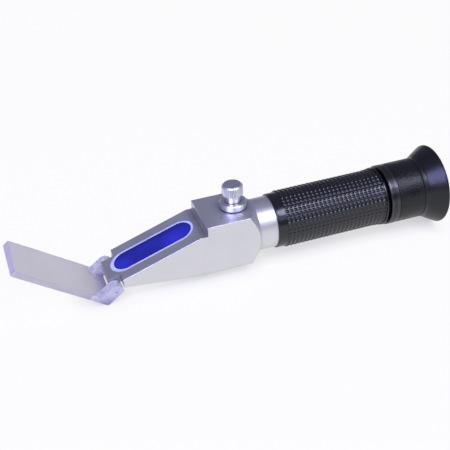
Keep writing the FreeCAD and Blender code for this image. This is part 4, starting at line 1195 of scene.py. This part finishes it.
def make_reticle_scale():
    """The whole scale as one piece of ink, riding on the housing."""
    points = []
    faces = []
    foot = AXIS_HEIGHT - STEP_HEIGHT * SCALE_STEPS / 2
    add_bar(points, faces, -LINE_HALF, LINE_HALF, foot, foot + STEP_HEIGHT * SCALE_STEPS)
    for step in range(SCALE_STEPS + 1):
        z = foot + step * STEP_HEIGHT
        numbered = step % NUMBER_EVERY == 0
        reach = LONG_LINE if numbered else SHORT_LINE
        add_bar(points, faces, -reach, -2 * LINE_HALF, z - LINE_HALF, z + LINE_HALF)
        if numbered:
            add_numeral(points, faces, str(step), NUMERAL_EDGE, z)
    ink, shader = new_finish("scale_ink", (0.02, 0.02, 0.03), 0.6)
    tone = tones(ink, speckle(ink, 9000), (0.3, (0.015,) * 3), (0.7, (0.04,) * 3))
    feed(ink, shader, "Base Color", tone)
    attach(add_piece("reticle_scale", points, faces, ink), "housing")


make_reticle_scale()

# %% [markdown]
# In a product picture the background is plain white, yet the metal must not be flooded with
# light. The light path tells what kind of ray arrives at a surface. The camera, mirrors and
# glass can be shown white paper while the light that falls on the instrument stays as it is.

# %% Shares by kind of ray
def seen_share(holder, **shares):
    """A factor with one share for each kind of ray, such as camera=0.9, and 0 for the rest."""
    rays = add_node(holder, "ShaderNodeLightPath").outputs
    total = 0.0
    for ray, most in shares.items():
        share = sums(holder, "MULTIPLY", rays["Is " + ray.title() + " Ray"], most)
        total = sums(holder, "MAXIMUM", total, share)
    return total


print("helper ready:", seen_share.__name__)

# %% [markdown]
# The floor is pale paper that takes the instrument's soft shadow. Most of what is seen of it is
# plain white, mixed over the paper by kind of ray. White alone would let the instrument float,
# so near a contact the white gives way to the paper. Mirrors see it a little dimmer, which keeps
# the undersides of the black pieces dark.

# %% Floor finish
PAPER = (0.86, 0.85, 0.79, 1)
CAMERA_SEES = 0.93
GLASS_SEES = 0.88
MIRROR_SEES = 0.86
MIRROR_DIMMING = 0.21
CONTACT_REACH = 9 * MM
CONTACT_SHARE = 0.5


def make_floor_finish():
    """White paper to the camera, mirrors and glass, with a shadow where the instrument touches."""
    finish = bpy.data.materials.new("studio_floor")
    finish.use_nodes = True
    finish.node_tree.nodes.clear()
    paper = add_node(finish, "ShaderNodeBsdfDiffuse", {"Color": PAPER})
    strength = sums(finish, "SUBTRACT", 1.0, seen_share(finish, glossy=MIRROR_DIMMING))
    white = add_node(finish, "ShaderNodeEmission", {"Strength": strength})
    near = add_node(finish, "ShaderNodeAmbientOcclusion", {"Distance": CONTACT_REACH})
    open_share = levels(finish, near.outputs["AO"], CONTACT_SHARE, 1.0)
    seen = seen_share(finish, camera=CAMERA_SEES, transmission=GLASS_SEES, glossy=MIRROR_SEES)
    share = sums(finish, "MULTIPLY", seen, open_share)
    inputs = {"Fac": share, 1: paper.outputs[0], 2: white.outputs[0]}
    mix = add_node(finish, "ShaderNodeMixShader", inputs)
    add_node(finish, "ShaderNodeOutputMaterial", {"Surface": mix.outputs[0]})
    return finish


floor_finish = make_floor_finish()
print("floor nodes:", len(floor_finish.node_tree.nodes))

# %% [markdown]
# The instrument lies on its eyecup and on the open cover's root, so the floor touches both and
# isn't quite level in the instrument's frame. Two points give its slope, the lowest point of the
# cover and the foot of the cup's rim.

# %% Floor
FLOOR_HALF = 3.0
FLOOR_GAP = 0.02 * MM
FLOOR_CORNERS = ((-1, -1), (1, -1), (1, 1), (-1, 1))
cover_foot = min(cover_points, key=lambda place: place.z)
rim_foot = Vector((cup_end - RIM_ROUND, 0, AXIS_HEIGHT - cup_radius))
floor_way = Vector((rim_foot.x - cover_foot.x, 0, rim_foot.z - cover_foot.z)).normalized()
floor_middle = Vector((cover_foot.x, 0, cover_foot.z - FLOOR_GAP))
floor_points = []
for reach, side in FLOOR_CORNERS:
    corner = floor_middle + reach * FLOOR_HALF * floor_way + Vector((0, side * FLOOR_HALF, 0))
    floor_points.append(tuple(corner))
add_piece("studio_floor", floor_points, [(0, 1, 2, 3)], floor_finish)
print("floor tilt:", round(math.degrees(math.asin(-floor_way.z)), 2), "degrees")

# %% [markdown]
# Three lamps light it. A big soft one in front and above draws the broad highlight along every
# round piece, a blue one on the left gives the glass, the cone and the flare their cool sheen,
# and a small bright one inside the first puts the sharp glints on the studs and the knurl. Each
# lamp is given by the brightness of its face, so a bigger lamp keeps the same reflection.

# %% Lamps
# Name, turn and rise in degrees, distance, width, height, brightness, tint
LAMPS = (
    ("front_lamp", -28, 48, 1.2, 1.2, 1.0, 0.8, (0.88, 0.89, 1.0)),
    ("left_lamp", 48, 41, 1.2, 0.75, 0.75, 6.0, (0.47, 0.49, 1.0)),
    ("glint_lamp", -31, 54, 1.1, 0.4, 0.4, 5.4, (0.78, 0.80, 1.0)),
)
subject = Vector((20, 0, 12)) * MM


def add_lamp(name, turn, rise, distance, width, height, radiance, tint):
    """A flat soft lamp aimed at the instrument, turn and rise in degrees."""
    turn = math.radians(turn)
    rise = math.radians(rise)
    flat = math.cos(rise)
    way = Vector((-math.sin(turn) * flat, -math.cos(turn) * flat, math.sin(rise)))
    light = bpy.data.lights.new(name, "AREA")
    light.shape = "RECTANGLE"
    light.size = width
    light.size_y = height
    light.energy = radiance * math.pi * width * height
    light.color = tint
    lamp = bpy.data.objects.new(name, light)
    lamp.location = subject + way * distance
    lamp.rotation_mode = "QUATERNION"
    lamp.rotation_quaternion = (-way).to_track_quat("-Z", "Y")
    bpy.context.scene.collection.objects.link(lamp)
    print(name, "at", [round(part, 2) for part in lamp.location])


for lamp_sizes in LAMPS:
    add_lamp(*lamp_sizes)

# %% [markdown]
# Metal shows the room as much as the lamps. This room is a sky painted by direction: pale along
# the horizon, where the sides of the instrument mirror it, and a dim cool grey above, so that
# flat metal facing up turns darker. Everything behind the instrument is dimmer than in front.
# The camera, and whatever is seen through clear acrylic, gets white instead.

# %% Room
SKY_STOPS = (
    (0.0, (0.70, 0.70, 0.71)),
    (0.1, (0.20, 0.20, 0.26)),
    (0.4, (0.222, 0.23, 0.34)),
    (1.0, (0.22, 0.22, 0.305)),
)
FRONT_LIGHT = 1.2
BACK_LIGHT = 0.85
BACK_STARTS = -0.2
BACK_FULL = 0.7
CAMERA_SEES_ROOM = 0.96
GLASS_SEES_ROOM = 0.95


def make_room():
    """A painted sky for light and mirrors, and plain white for the camera and clear pieces."""
    room = bpy.data.worlds.new("room")
    bpy.context.scene.world = room
    room.use_nodes = True
    room.node_tree.nodes.clear()
    way = add_node(room, "ShaderNodeTexCoord").outputs["Generated"]
    parts = add_node(room, "ShaderNodeSeparateXYZ", {0: way}).outputs
    sky = tones(room, parts["Z"], *SKY_STOPS)
    strength = levels(room, parts["Y"], FRONT_LIGHT, BACK_LIGHT, BACK_STARTS, BACK_FULL)
    dim = add_node(room, "ShaderNodeBackground", {"Color": sky, "Strength": strength})
    white = add_node(room, "ShaderNodeBackground", {"Color": (1, 1, 1, 1)})
    seen = seen_share(room, camera=CAMERA_SEES_ROOM, transmission=GLASS_SEES_ROOM)
    inputs = {"Fac": seen, 1: dim.outputs[0], 2: white.outputs[0]}
    mix = add_node(room, "ShaderNodeMixShader", inputs)
    add_node(room, "ShaderNodeOutputWorld", {"Surface": mix.outputs[0]})
    print("room nodes:", len(room.node_tree.nodes))


make_room()
